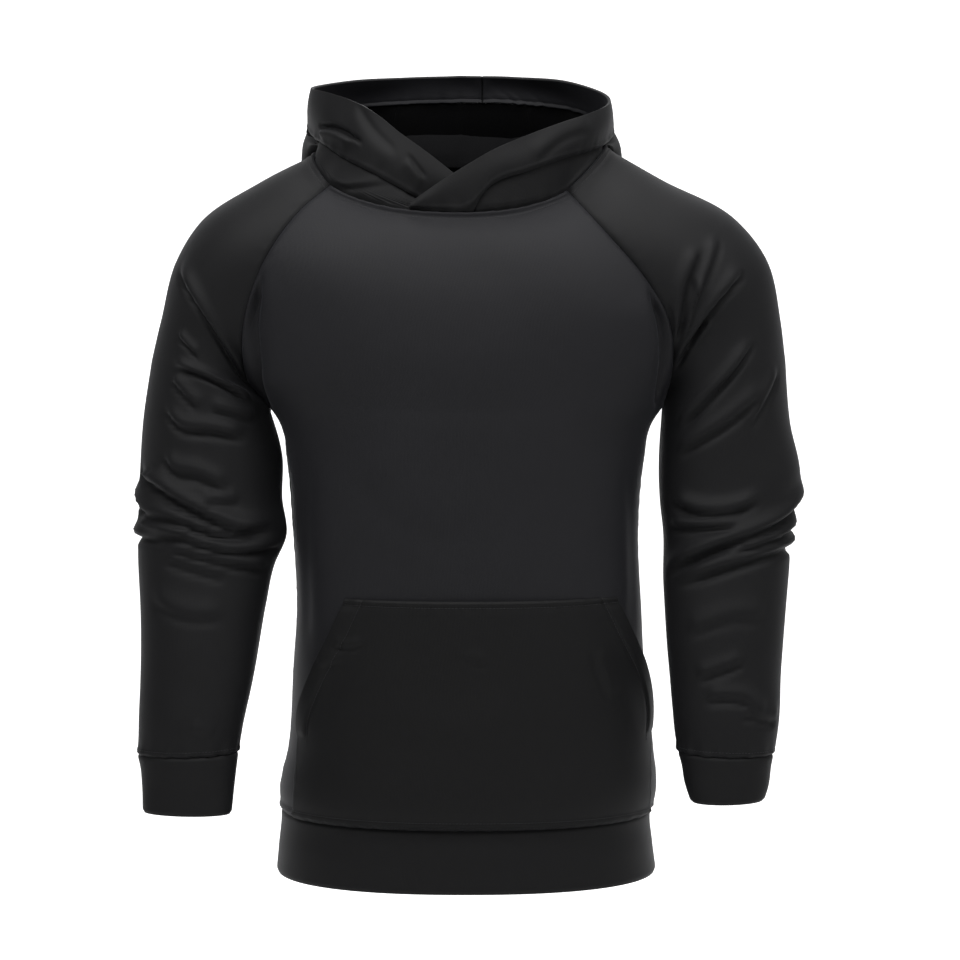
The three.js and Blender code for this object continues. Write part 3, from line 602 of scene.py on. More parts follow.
def thread(name, colour):
    """Spun polyester sewing thread."""
    material = bpy.data.materials.new(name)
    material.use_nodes = True
    tree = material.node_tree
    tree.nodes.clear()
    place = Wire.node(tree, "ShaderNodeTexCoord", output="Object")
    twist = Wire.node(tree, "ShaderNodeTexNoise", None, {"Vector": place, "Scale": 3000.0, "Detail": 1.0})
    bump = Wire.node(tree, "ShaderNodeBump", None, {"Distance": 0.0001, "Height": twist})
    shader = Wire.node(
        tree,
        "ShaderNodeBsdfPrincipled",
        None,
        {"Base Color": (*colour, 1.0), "Roughness": 0.5, "Specular IOR Level": 0.45, "Normal": bump},
    )
    Wire.node(tree, "ShaderNodeOutputMaterial", None, {"Surface": shader})
    return material


FLEECE_COLOUR = (0.0122, 0.0122, 0.0148)
NECK_RIDGE_AT = 2.4
NECK_GROOVE_AT = 6.0
NECK_STITCH_AT = 6.6
HEM_RIDGE_AT = 5.5
HEM_STITCHES_AT = (2.6, 8.6)  # a twin needle
FRONT_CREASES = [
    (front_line((-188, 592), (-200, 535), (-200, 492), (-185, 436)), 14, 1.0, 10.0),
    (front_line((180, 446), (189, 492), (188, 522), (173, 578)), 13, 1.0, 9.0),
    (front_line((-196, 580), (-190, 520), (-182, 440)), 30, 0.4, 3.5),
    (front_line((182, 450), (185, 512), (178, 572)), 28, 0.4, 3.0),
    (front_line((-146, 420), (-149, 320), (-150, 215)), 25, 2.0, 1.5),
    (front_line((154, 215), (157, 320), (152, 420)), 25, 1.5, 1.2),
    (front_line((-110, 400), (-60, 352), (10, 330)), 28, 1.8, 1.2),
]


def hem_lift(panel, edge):
    """How the front and the back lie at their side seams and at the hem band."""
    lift = pucker(panel.bottom, edge) + pucker(panel.left, panel.bottom) + seam_roll(panel.bottom)
    return lift + ridge_along(panel.bottom, HEM_RIDGE_AT, 1.7, 1.8)


def hem_lines(panel):
    return [line_at(panel, "bottom", at) for at in HEM_STITCHES_AT]


front = panel_surface("front", flip=True)
neck_front = front.points[-1].copy()
before = front.points
front_edge = np.minimum(front.left, front.right)
front.lift(
    hem_lift(front, front_edge)
    + ridge_along(front.top, NECK_RIDGE_AT, 3.0, 1.6)
    + ridge_along(front.top, NECK_GROOVE_AT, -0.9, 1.2)
    + pucker(front.left, front.top, 0.2)
    + waver(front, 1.5, 90)
    + crease_height(front, FRONT_CREASES)
)
sewn(front, before, front_edge)

INSIDE_COLOUR = (0.013, 0.013, 0.014)
fleece_face = fleece("fleece_face", FLEECE_COLOUR)
fleece_inside = fleece("fleece_inside", INSIDE_COLOUR, rough=0.95, sheen=0.0, shine=0.05, nap=0.3)
single = (fleece_face, fleece_inside)
front_piece = cloth("front_panel", front, CLOTH, single)
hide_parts("front")
# Black thread painted lighter than the fleece: a painted highlight along the stitch lines
THREAD_HIGHLIGHT_COLOUR = (0.03, 0.03, 0.033)
black_thread_highlighted = thread("black_thread_highlighted", THREAD_HIGHLIGHT_COLOUR)
front_lines = [line_at(front, "top", NECK_STITCH_AT), *hem_lines(front)]
front_sewing = stitches("front_sewing", front_lines, black_thread_highlighted)

# Back
# One panel of the same fleece, cut higher at the neck. It is overlocked to the front at the sides
# and to the sleeves along its raglan edges, and the hood's bag hangs against it.
MID_BACK = [(0, 120, 454), (0.3, 126, 520), (0.6, 117, 590), (0.85, 94, 655), (1, 74, 690)]
BACK_CREASES = [
    (back_line((178, 478), (130, 500), (76, 502)), 17, 3.4, 3.4),
    (back_line((-80, 506), (-132, 500), (-180, 470)), 18, 3.2, 3.0),
    (back_line((172, 445), (120, 430), (60, 436)), 20, 2.8, 2.6),
    (back_line((-70, 442), (-120, 434), (-166, 440)), 19, 3.0, 3.0),
    (back_line((120, 352), (20, 336), (-96, 348)), 24, 2.8, 2.4),
    (back_line((90, 268), (-10, 258), (-130, 276)), 22, 3.0, 2.4),
    (back_line((140, 212), (40, 204), (-30, 210)), 18, 2.2, 2.0),
    (back_line((153, 205), (156, 300), (152, 400)), 14, 2.6, 2.4),
    (back_line((-150, 395), (-154, 300), (-149, 190)), 14, 2.8, 2.6),
    (back_line((60, 96), (58, 130), (64, 170)), 12, 1.8, 1.6),
    (back_line((-70, 165), (-64, 130), (-68, 92)), 12, 1.8, 1.6),
]

middle["back"] = table(MIDDLE_COLUMNS, MID_BACK)
back = panel_surface("back", flip=False)
neck_back = back.points[-1].copy()
before = back.points
back_edge = np.minimum(back.left, back.right)
back.lift(
    hem_lift(back, back_edge)
    + ridge_along(back.top, NECK_RIDGE_AT, 2.4, 1.7)
    + waver(back, 1.6, 80, 0.7)
    + crease_height(back, BACK_CREASES)
)
sewn(back, before, back_edge)
back_piece = cloth("back_panel", back, CLOTH, single)
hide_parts("back")
back_lines = [line_at(back, "top", NECK_STITCH_AT), *hem_lines(back)]
back_sewing = stitches("back_sewing", back_lines, black_thread_highlighted)

# Sleeves
# Raglan sleeves of the same fleece that run up to the neck. Each is closed by a seam under the arm,
# overlocked to the front and the back, and gathered a little into its cuff.
UPPER_ARM_DEPTH = 64
DEPTH_BLEND = 6
NECK_OPENING = np.radians(32)
CAP_ROUNDS_FROM = 0.35
CAP_TURNS_BY = 0.35
OVERARM = {
    "left": [(311, 0, 497), (305, -4, 536), (290, -8, 594), (260, -8, 632), (189, -9, 671), (133, -10, 702)],
    "right": [
        (-303, 0, 497),
        (-292, -4, 538),
        (-277, -8, 594),
        (-253, -8, 632),
        (-195, -8, 669),
        (-141, -8, 696),
    ],
}
RING_COLUMNS = ("inner_z", "inner_x", "outer_x", "outer_z", "y", "depth")
SLEEVE = {
    "left": [
        (454, 191, 311, 497, 0, 64),
        (412, 189, 315, 440, -1, 62),
        (362, 190, 324, 382, -6, 58),
        (330, 193, 316, 344, -12, 55),
        (282, 192, 313, 293, -21, 52),
        (229, 194, 308, 232, -33, 48),
        (191, 198, 304, 193, -41, 45),
        (153, 201, 301, 154, -50, 41),
        (124, 204, 296, 122, -56, 34),
    ],
    "right": [
        (454, -191, -303, 497, 0, 64),
        (405, -177, -313, 440, -1, 62),
        (363, -177, -316, 390, -6, 58),
        (328, -173, -317, 342, -12, 55),
        (300, -185, -316, 310, -17, 53),
        (263, -193, -313, 265, -25, 51),
        (191, -204, -313, 191, -41, 45),
        (153, -212, -314, 153, -50, 41),
        (124, -217, -314, 122, -56, 34),
    ],
}
CUFF_SEAM = 124
SECOND_RIDGE = 5.2  # the seam lies flat as two ridges on the shoulder


def ring_points(size, share):
    """Rings of a sleeve or cuff, from the underarm seam over the front and round the back."""
    angle = -np.pi / 2 + 2 * np.pi * share
    inner = np.stack([size["inner_x"], size["y"], size["inner_z"]], axis=-1)
    outer = np.stack([size["outer_x"], size["y"], size["outer_z"]], axis=-1)
    centre = (inner + outer) / 2
    found = centre + (outer - centre) * np.sin(angle)[..., None]
    found[..., 1] -= np.cos(angle) * size["depth"]
    return found


def shoulder_points(side, up, share):
    """Rows over the shoulder, from the front raglan seam to the back one."""
    first = raglan[side + "_front"](up)
    last = raglan[side + "_back"](up)
    top = route(OVERARM[side])(up)
    spread_half = np.linalg.norm(first - last, axis=-1) / 2
    depth = (spread_half**DEPTH_BLEND + UPPER_ARM_DEPTH**DEPTH_BLEND) ** (1 / DEPTH_BLEND)
    rounds = ease(CAP_ROUNDS_FROM, 1, up)
    closed = -np.arccos(np.clip(spread_half / depth, 0, 1))
    opening = closed + (NECK_OPENING - closed) * rounds
    depth = np.where(rounds > 0, spread_half / np.cos(opening), depth)
    angle = opening + (np.pi - 2 * opening) * share
    centre = (first + last) / 2
    across = (last - first) / np.maximum(2 * spread_half, 1e-6)[..., None]
    backwards = np.array([0.0, 1.0, 0.0])
    across = np.where(spread_half[..., None] > 1, across, backwards)
    rise = (np.sin(angle) - np.sin(opening)) / (1 - np.sin(opening))
    reach = np.cos(angle) * depth
    turned = (reach - np.cos(opening) * depth * (1 - 2 * share)) * (1 - ease(0, CAP_TURNS_BY, up))
    found = centre + (top - centre) * rise[..., None]
    return found + across * (turned - reach)[..., None] - backwards * turned[..., None]


def sleeve_surface(side, flip):
    heights = steps_between(CUFF_SEAM, UNDERARM, close_low=True)[:-1]
    size = table(RING_COLUMNS, SLEEVE[side])(heights[:, None])
    rings = ring_points(size, FINE_SHARES)
    ups = steps_between(0, RAGLAN_LENGTH, close_high=True)[:, None] / RAGLAN_LENGTH
    cap = shoulder_points(side, ups, FINE_SHARES)
    return Surface(spread(np.concatenate([rings, cap])), closed=len(heights) + 1, flip=flip)


SLEEVE_CREASES = {
    "right": [
        (front_line((-273, 587), (-240, 530), (-206, 472)), 9, 5.0, 7.0),
        (front_line((-272, 522), (-251, 502)), 7, 3.6, 4.4),
        (front_line((-277, 492), (-241, 480), (-202, 458)), 8, 5.0, 7.0),
        (front_line((-281, 479), (-252, 453)), 7, 3.8, 4.6),
        (front_line((-242, 453), (-198, 441)), 7, 3.6, 4.6),
        (front_line((-288, 456), (-270, 434), (-241, 428), (-206, 424)), 8, 4.4, 6.4),
        (front_line((-291, 410), (-277, 392), (-252, 386), (-225, 374)), 9, 4.4, 5.4),
        (front_line((-250, 360), (-212, 362)), 7, 3.0, 3.6),
        (
            side_line("right", (-34, 400))
            + front_line((-312, 392), (-291, 371), (-258, 354), (-218, 337), (-180, 338)),
            9,
            6.0,
            9.0,
        ),
        (
            side_line("right", (40, 356), (-10, 360))
            + front_line((-311, 351), (-271, 344), (-231, 332), (-185, 333)),
            7,
            4.8,
            7.4,
        ),
        (front_line((-313, 337), (-255, 329)), 6, 4.5, 5.4),
        (
            side_line("right", (34, 318), (-14, 326))
            + front_line((-313, 326), (-271, 326), (-224, 316), (-176, 320)),
            7,
            4.8,
            7.0,
        ),
        (front_line((-290, 322), (-251, 310), (-190, 295)), 8, 4.2, 5.6),
        (front_line((-290, 309), (-224, 288)), 9, 3.0, 3.8),
        (front_line((-300, 268), (-262, 252), (-226, 254)), 10, 2.0, 2.2),
        (front_line((-262, 150), (-240, 139)), 8, 1.8, 2.0),
        (back_line((-196, 500), (-236, 488), (-278, 512)), 12, 3.6, 4.0),
        (back_line((-186, 448), (-232, 436), (-290, 448)), 11, 4.0, 4.6),
        (back_line((-184, 396), (-226, 392), (-262, 404)), 10, 3.4, 4.0),
        (back_line((-186, 352), (-242, 340), (-302, 350)), 9, 4.6, 5.8),
        (back_line((-184, 326), (-230, 318), (-276, 324)), 8, 4.0, 5.2),
        (back_line((-196, 290), (-246, 284), (-300, 296)), 10, 3.4, 4.0),
        (back_line((-230, 214), (-268, 206), (-300, 212)), 11, 2.2, 2.4),
    ],
    "left": [
        (front_line((198, 512), (206, 560), (226, 606)), 7, 4.2, 6.0),
        (front_line((206, 516), (219, 556), (228, 580), (242, 616)), 6, 4.0, 5.0),
        (front_line((216, 578), (203, 522)), 5, 3.4, 5.4),
        (front_line((199, 488), (225, 535), (266, 586)), 8, 5.2, 8.0),
        (front_line((232, 540), (205, 505)), 5, 3.4, 5.0),
        (front_line((204, 430), (240, 472), (275, 519)), 9, 4.8, 6.6),
        (front_line((203, 405), (250, 440), (286, 470)), 9, 4.0, 5.6),
        (front_line((270, 436), (300, 490)), 8, 3.0, 3.4),
        (front_line((197, 363), (230, 350), (258, 354), (284, 368)), 8, 5.2, 7.0),
        (front_line((197, 335), (262, 340)), 7, 4.4, 6.0),
        (
            front_line((193, 292), (241, 322), (304, 347)) + side_line("left", (-20, 360), (24, 362)),
            9,
            6.0,
            9.0,
        ),
        (
            front_line((246, 312), (307, 331)) + side_line("left", (-20, 336), (20, 340)),
            7,
            4.8,
            7.6,
        ),
        (
            front_line((201, 280), (261, 306), (307, 315)) + side_line("left", (-20, 318), (26, 314)),
            9,
            4.8,
            7.4,
        ),
        (front_line((212, 236), (256, 252), (286, 250)), 10, 2.0, 2.2),
        (front_line((220, 195), (266, 212)), 8, 2.8, 4.0),
        (front_line((226, 178), (266, 173), (280, 160)), 8, 3.0, 4.2),
        (front_line((258, 165), (297, 152)), 8, 2.6, 4.0),
        (back_line((276, 508), (236, 492), (204, 506)), 12, 3.8, 4.2),
        (back_line((294, 444), (240, 430), (196, 446)), 11, 4.0, 4.6),
        (back_line((282, 396), (240, 386), (198, 394)), 10, 3.2, 3.8),
        (back_line((306, 346), (256, 334), (202, 340)), 9, 4.8, 6.0),
        (back_line((290, 316), (246, 308), (204, 312)), 8, 4.0, 5.0),
        (back_line((296, 280), (250, 270), (210, 278)), 10, 3.0, 3.4),
        (back_line((280, 200), (246, 192), (216, 200)), 11, 2.2, 2.4),
    ],
}


SLEEVE_SHADED_COLOUR = (0.0088, 0.0088, 0.0097)  # darker than the front and the back: painted shade on the arms, which take less light
sleeve_shaded_face = fleece("sleeve_shaded_face", SLEEVE_SHADED_COLOUR, shine=0.27)
SLEEVE_STITCHES_AT = {"top": 6.0, "bottom": 5.4}
WAVER_TURN = {"left": 0.4, "right": 1.9}
sleeves = {}
for side in ("left", "right"):
    sleeve = sleeve_surface(side, flip=side == "right")
    sleeves[side] = sleeve.points[-1].copy()
    before = sleeve.points
    open_rows = np.arange(len(sleeve.points))[:, None] >= sleeve.closed - 1
    edge = np.where(open_rows, np.minimum(sleeve.left, sleeve.right), FAR)
    sleeve.lift(
        pucker(sleeve.bottom, edge, 0.3)
        + ridge_along(sleeve.top, NECK_RIDGE_AT, 3.2, 1.3)
        + ridge_along(sleeve.top, NECK_RIDGE_AT + SECOND_RIDGE, 2.7, 1.3)
        + seam_roll(sleeve.bottom)
        + pucker(sleeve.left, sleeve.bottom, 0.5, 12)
        + ridge_along(sleeve.bottom, 3.0, 0.8, 1.6)
        + waver(sleeve, 1.0, 60, WAVER_TURN[side])
        + crease_height(sleeve, SLEEVE_CREASES[side])
    )
    sewn(sleeve, before, edge)
    piece = cloth(f"sleeve_{side}_panel", sleeve, CLOTH, (sleeve_shaded_face, fleece_inside))
    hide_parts(f"sleeve_{side}")
    lines = [line_at(sleeve, end, at) for end, at in SLEEVE_STITCHES_AT.items()]
    sewing = stitches(f"sleeve_{side}_sewing", lines, black_thread_highlighted)

# Cuffs
# Bands of the same fleece folded double along their lower edge and closed to a tube. Both upper
# edges are sewn together to the sleeve's end.
DOUBLED = 3.0
FOLD_ROLL = {"depth": 1.6, "reach": 1.8}
CUFF = {
    "left": [
        (124, 204, 296, 122, -56, 34),
        (114, 207, 293.5, 112, -60, 30),
        (96, 210, 291, 94, -63, 26),
        (77, 216, 286, 79, -67, 23),
    ],
    "right": [
        (124, -217, -314, 122, -56, 34),
        (114, -218, -311, 112, -60, 30),
        (96, -220, -309, 94, -63, 26),
        (66, -223, -308, 68, -67, 23),
    ],
}
# The cuffs and the hem band take a darker copy of the fleece: painted shade low on the garment
BAND_SHADED_COLOUR = (0.0068, 0.0068, 0.0075)
fleece_band = fleece("fleece_band", BAND_SHADED_COLOUR, shine=0.29)
doubled = (fleece_band,)
for side in ("left", "right"):
    lowest, highest = CUFF[side][-1][0], CUFF[side][0][0]
    heights = steps_between(lowest, highest, 2.4, True, True)
    size = table(RING_COLUMNS, CUFF[side])(heights[:, None])
    cuff = Surface(spread(ring_points(size, FINE_SHARES), 2.6), closed=len(heights), flip=side == "right")
    cuff.lift(seam_roll(cuff.top) + seam_roll(cuff.bottom, **FOLD_ROLL))
    piece = cloth(f"cuff_{side}_band", cuff, DOUBLED, doubled)
    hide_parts(f"cuff_{side}")

# Hem band
# One long band of the fleece folded double along the bottom and closed to a ring. Both upper edges
# are sewn together to the front and the back.
heights = steps_between(0, HEM_SEAM, 2.4, True, True)[:, None]
hem_front = spread(torso_points("front", heights, FINE_SHARES), 2.6)
hem_back = spread(torso_points("back", heights, FINE_SHARES), 2.6)[:, ::-1]
hem = Surface(np.concatenate([hem_front, hem_back[:, 1:]], axis=1), closed=len(heights), flip=True)
hem.lift(seam_roll(hem.top) + seam_roll(hem.bottom, **FOLD_ROLL))
hem_piece = cloth("hem_band_loop", hem, DOUBLED, doubled)
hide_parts("hem_band")

# Pocket
# A kangaroo pocket cut from one layer of fleece. Its top, its lower edge and the lower part of its
# sides are sewn to the front. The slanted sides are turned in, sewn down and left open.
POCKET_COLUMNS = ("z", "min_x", "max_x")
POCKET = [
    (61, -163, 176),
    (110, -160, 177),
    (163, -155, 176),
    (205, -140, 167),
    (240, -125, 155),
    (276, -111, 142),
]
POCKET_CLEAR = 1.2
POCKET_SLACK = 2.4
heights = steps_between(POCKET[0][0], POCKET[-1][0], 3.0, True, True)[:, None]
outline = table(POCKET_COLUMNS, POCKET)(heights)
size = torso_at(heights)
half = (size["max_x"] - size["min_x"]) / 2
centre = (size["max_x"] + size["min_x"]) / 2


def angle_at(x):
    level = np.clip((x - centre) / half, -1, 1)
    return np.arccos(np.sign(level) * np.abs(level) ** (ROUNDNESS / 2))


first, last = angle_at(outline["max_x"]), angle_at(outline["min_x"])
shares = first + (last - first) * FINE_SHARES
pocket = Surface(spread(torso_points("front", heights, shares / np.pi), 3.0), flip=True)
POCKET_OPENS = (140, 268)  # heights between which the slanted sides are open
POCKET_STITCH_AT = 6.5
POCKET_HEM = 18.5
POCKET_HEM_SOFT = 1.2
POCKET_GAPE = 4.6  # how far the open sides stand off
POCKET_GAPE_REACH = 38
POCKET_TURNED_IN = 1.3  # the second layer of the turned side
POCKET_CREASES = [
    (front_line((-122, 233), (-104, 229), (-92, 234)), 5, 1.8, 2.4),
    (front_line((-132, 206), (-112, 216)), 7, 1.6, 1.8),
    (front_line((118, 228), (126, 200), (136, 176)), 8, 1.6, 1.8),
    (front_line((-4, 222), (12, 216), (26, 220)), 7, 0.9, 1.0),
    (front_line((-96, 150), (-30, 138), (60, 146)), 24, 1.2, 1.0),
]
across = np.sin(np.pi * pocket.left / (pocket.left + pocket.right))
upward = np.sin(np.pi * pocket.bottom / (pocket.bottom + pocket.top))
side_edge = np.minimum(pocket.left, pocket.right)
share_open = np.clip((pocket.points[..., 2] - POCKET_OPENS[0]) / (POCKET_OPENS[1] - POCKET_OPENS[0]), 0, 1)
gape = np.sin(np.pi * share_open) ** 0.7
hemmed = (share_open > 0) * (1 - ease(POCKET_HEM - POCKET_HEM_SOFT, POCKET_HEM + POCKET_HEM_SOFT, side_edge))
pocket.lift(
    POCKET_CLEAR
    + CLOTH
    + POCKET_SLACK * across * upward
    + POCKET_GAPE * gape * (1 - ease(0, POCKET_GAPE_REACH, side_edge))
    + POCKET_TURNED_IN * hemmed * gape**0.3
    + ridge_along(side_edge, POCKET_HEM, -1.1, 1.5) * (share_open > 0)
    + seam_roll(pocket.top, 0.9, 1.6)
    + ridge_along(pocket.top, 2.6, 0.9, 1.6)
    + ridge_along(pocket.top, POCKET_STITCH_AT, -0.8, 1.3)
    + seam_roll(pocket.bottom)
    + ridge_along(pocket.bottom, HEM_RIDGE_AT, 1.7, 1.8)
    + pucker(pocket.left, pocket.bottom, 0.3)
    + pucker(pocket.left, pocket.top, 0.25)
    + pucker(pocket.bottom, side_edge, 0.15) * (share_open <= 0)
    + waver(pocket, 1.4, 75, 1.1) * across * upward
    + crease_height(pocket, POCKET_CREASES)
)
# The pocket's fleece is painted darker than the front's: painted shade on the pocket low on the front
POCKET_SHADED_COLOUR = (0.0062, 0.0062, 0.0067)
pocket_shaded_face = fleece("pocket_shaded_face", POCKET_SHADED_COLOUR, shine=0.28)
pocket_piece = cloth("pocket_panel", pocket, CLOTH, (pocket_shaded_face, fleece_inside))
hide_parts("pocket")
HEMMED_FROM, SEWN_TO = 0.35, 0.42  # shares of the height of the sides
pocket_lines = [line_at(pocket, "top", POCKET_STITCH_AT), *hem_lines(pocket)]
for edge in ("left", "right"):
    pocket_lines.append(line_at(pocket, edge, POCKET_HEM, HEMMED_FROM))
    pocket_lines.append(line_at(pocket, edge, HEM_STITCHES_AT[0], 0, SEWN_TO))
pocket_sewing = stitches("pocket_sewing", pocket_lines, black_thread_highlighted)

# Hood panels
# Two curved sides and the strip between them, each one layer of the fleece. The lowered hood is sewn
# to the neck all round, stands up in front and hangs behind as a bag.
NECK_CENTRE = np.array([-4.0, -5.0])
HOOD_COLUMNS = ("around", "neck", "towards", "rim_out", "rim_z", "edge_out", "edge_z")
HOOD = {
    "left": [
        (-117, 101, -117, 5, 645, 3, 640.5),
        (-100, 95, -100, 5.5, 666, 3.5, 639),
        (-85, 93.5, -85, 5, 682, 4.5, 641),
        (-73, 95.5, -73, 5, 694, 5.5, 662),
        (-55, 101.5, -55, 5, 708, 8, 675),
        (-36, 111.5, -36, 4, 721, 8, 687.5),
        (-18, 125, -18, 6.5, 733, 7, 697),
        (-2, 136.5, -2, 7, 744, 5, 706),
        (14, 131, 18, 12, 757, 22, 720),
        (33, 118, 52, 9, 771, 30, 742),
        (57, 93, 80, 18, 777, 31, 751),
        (90, 79, 90, 20, 778.5, 32, 753),
    ],
    "right": [
        (-115, 98, -115, -7, 643, -6, 640),
        (-99, 92.5, -99, -7, 659.5, -6.5, 638.5),
        (-84, 92.5, -84, -7, 676, -6.5, 638.5),
        (-70, 96, -70, -4, 693.5, -4, 646),
        (-57, 104, -57, -4, 710, 0, 660),
        (-44, 114, -44, -7, 728, 3, 675),
        (-27, 130, -27, -12, 744, -4, 690),
        (-13, 137, -13, -4, 753, -3, 703),
        (0, 137, 0, 7, 758, 5, 711),
        (14, 132, 18, 11, 764, 22, 724),
        (33, 118, 52, 9, 772, 30, 744),
        (57, 93, 80, 18, 776.5, 31, 751),
        (90, 79, 90, 20, 778.5, 32, 753),
    ],
}
BAG_KNOTS = ("fold", "inner", "bottom", "outer")
BAG_COLUMNS = ("around", *(knot + place for knot in BAG_KNOTS for place in ("_out", "_z")))
HOOD_BAG = [
    (-2, 0, 703, 0, 703.6, 0, 704.2, 0, 704.8),
    (14, 6, 708, 14, 703, 24, 698, 28, 707),
    (33, 10, 712, 34, 670, 60, 618, 70, 662),
    (57, 9, 714, 36, 640, 78, 525, 112, 603),
    (90, 9, 715, 38, 622, 80, 508, 120, 590),
]
BAG_STARTS, BAG_FULL = -14, 4
CENTRE_STRIP_AT = 53
SEAM_LAP = 0.6  # degrees by which the strip runs under the sides
OVER_END, OVER_PANEL_END = -117, -82
UNDER_END, UNDER_PANEL_END = -113, -76
BAND_LAP = 5.6
BAND_CLIMB = 0.2
BAND_DIP = 0.12
BAND_DIP_ENDS = (24, 34)
BAND_LAP_ENDS = (-24, 26)
TUCK_SHARE = 0.06
NECK_LAP = 4.0  # the cloth turned down inside the neck seam
BAND_LAP_ENDS_AT = (-86, -78)  # where the bands leave the neck seam

loop = np.concatenate([neck_front[::-1], sleeves["left"][1:], neck_back[1:], sleeves["right"][::-1][1:-1]])
loop_turn = np.degrees(np.arctan2(loop[:, 1] - NECK_CENTRE[1], loop[:, 0] - NECK_CENTRE[0]))


def neck_at(around):
    return np.array([np.interp(around, loop_turn, loop[:, k], period=360) for k in range(3)])


hood_at = {side: table(HOOD_COLUMNS, rows) for side, rows in HOOD.items()}
bag_at = table(BAG_COLUMNS, HOOD_BAG)


def hood_profile(around):
    """The hood at one place round the neck: knots of the panel, and the band's edge and rim."""
    side = "left" if around <= 90 else "right"
    key = around if side == "left" else 180 - around
    size = hood_at[side](key)
    bag = bag_at(max(key, BAG_STARTS))
    turn = np.radians(around)
    direction = np.radians(size["towards"] if side == "left" else 180 - size["towards"])

    def place(out, z):
        x, y = NECK_CENTRE + size["neck"] * np.array([np.cos(turn), np.sin(turn)])
        return np.array([x + out * np.cos(direction), y + out * np.sin(direction), z])

    edge = place(size["edge_out"], size["edge_z"])
    rim = place(size["rim_out"], size["rim_z"])
    lap = 1 - ease(*BAND_LAP_ENDS, key)
    inset = BAND_LAP * ease(0, 0.5, lap)
    dip = BAND_DIP * (1 - ease(*BAND_DIP_ENDS, key))
    climb = (BAND_CLIMB + dip) * ease(0.5, 1, lap) - dip
    tuck = place(size["edge_out"] - inset, size["edge_z"])
    under_out = size["edge_out"] + (size["rim_out"] - size["edge_out"]) * climb - inset
    under = place(under_out, size["edge_z"] + (size["rim_z"] - size["edge_z"]) * climb)
    hang = ease(BAG_STARTS, BAG_FULL, key)
    point = neck_at(around)
    knots = []
    for i, name in enumerate(BAG_KNOTS):
        plain = point + (tuck - point) * (i + 1) / (len(BAG_KNOTS) + 1)
        hung = place(bag[name + "_out"], bag[name + "_z"])
        knots.append(plain + (hung - plain) * hang)
    tuck = tuck + (knots[3] - tuck) * TUCK_SHARE
    lap_end = point - [0, 0, NECK_LAP]
    band_start = edge + (lap_end - edge) * (1 - ease(*BAND_LAP_ENDS_AT, key))
    return [lap_end, point, *knots, tuck, under], [band_start, edge, rim]


def hood_surface(low, high):
    turns = np.arange(low, high + 0.01, (high - low) / round((high - low) / 1.5))
    shares = np.linspace(0, 1, 241)
    lines = np.array([route(hood_profile(turn)[0])(shares) for turn in turns])
    return Surface(spread(lines), flip=True)


def band_surface(low, high):
    turns = np.arange(low, high + 0.01, (high - low) / round((high - low) / 1.2))
    lines = np.array([hood_profile(turn)[1] for turn in turns])
    laps = np.linalg.norm(lines[:, 1] - lines[:, 0], axis=1)
    return Surface(spread(lines, 2.4), flip=True), laps[:, None]


# The hood takes darker copies of the fleece: painted shade on its outer face, and deeper painted shade on
# its inside, down in the hood
HOOD_SHADED_COLOUR = (0.0076, 0.0076, 0.0083)
HOOD_INSIDE_SHADED_COLOUR = (0.0065, 0.0065, 0.007)
hood_shaded_face = fleece("hood_shaded_face", HOOD_SHADED_COLOUR, shine=0.25)
hood_inside_shaded = fleece("hood_inside_shaded", HOOD_INSIDE_SHADED_COLOUR, rough=0.95, sheen=0.0, shine=0.05, nap=0.3)
HOOD_CREASES = {
    "hood_side_left": [
        (side_line("left", (20, 672), (52, 648), (80, 612)), 12, 4.0, 4.6),
        (back_line((104, 640), (92, 600), (86, 566)), 12, 3.6, 3.6),
    ],
    "hood_centre": [
        (back_line((52, 690), (10, 676), (-40, 684)), 14, 3.4, 3.4),
        (back_line((60, 612), (5, 596), (-58, 606)), 17, 3.6, 3.4),
        (back_line((46, 552), (0, 540), (-44, 548)), 15, 2.8, 2.6),
    ],
    "hood_side_right": [
        (front_line((-84, 681), (-62, 664)), 5, 3.0, 3.4),
        (back_line((-88, 566), (-96, 606), (-110, 640)), 12, 3.8, 3.6),
        (side_line("right", (80, 610), (50, 650), (16, 674)), 12, 3.8, 4.4),
    ],
}
HOOD_PANELS = {
    "hood_side_left": (OVER_PANEL_END, CENTRE_STRIP_AT),
    "hood_centre": (CENTRE_STRIP_AT - SEAM_LAP, 180 - CENTRE_STRIP_AT + SEAM_LAP),
    "hood_side_right": (180 - CENTRE_STRIP_AT, 180 - UNDER_PANEL_END),
}
FREE_OF_STRIP, FREE_OF_NECK, FREE_OF_BAND = 14, 8, 10  # how far from each seam the hood hangs freely
for name, (low, high) in HOOD_PANELS.items():
    hood = hood_surface(low, high)
    ends = {"hood_side_left": hood.top, "hood_side_right": hood.bottom}
    strip_seam = ends.get(name, np.minimum(hood.bottom, hood.top))
    from_neck = np.maximum(hood.left - NECK_LAP, 0)
    held = ease(0, FREE_OF_STRIP, strip_seam) * ease(0, FREE_OF_NECK, from_neck)
    held = held * ease(0, FREE_OF_BAND, hood.right)
    hood.lift(
        seam_roll(from_neck, 0.8, 1.8)
        + pucker(hood.bottom, from_neck, 0.3, 8)
        + (seam_roll(strip_seam, 1.6, 1.6) + ridge_along(strip_seam, 4.5, 0.5, 1.8)) * ease(0, 9, hood.right)
        + pucker(hood.left, strip_seam, 0.25) * ease(0, 2, strip_seam)
        + (waver(hood, 1.8, 70, 0.3) + crease_height(hood, HOOD_CREASES[name])) * held
    )
    piece = cloth(f"{name}_panel", hood, CLOTH, (hood_shaded_face, hood_inside_shaded))
    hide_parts(name)

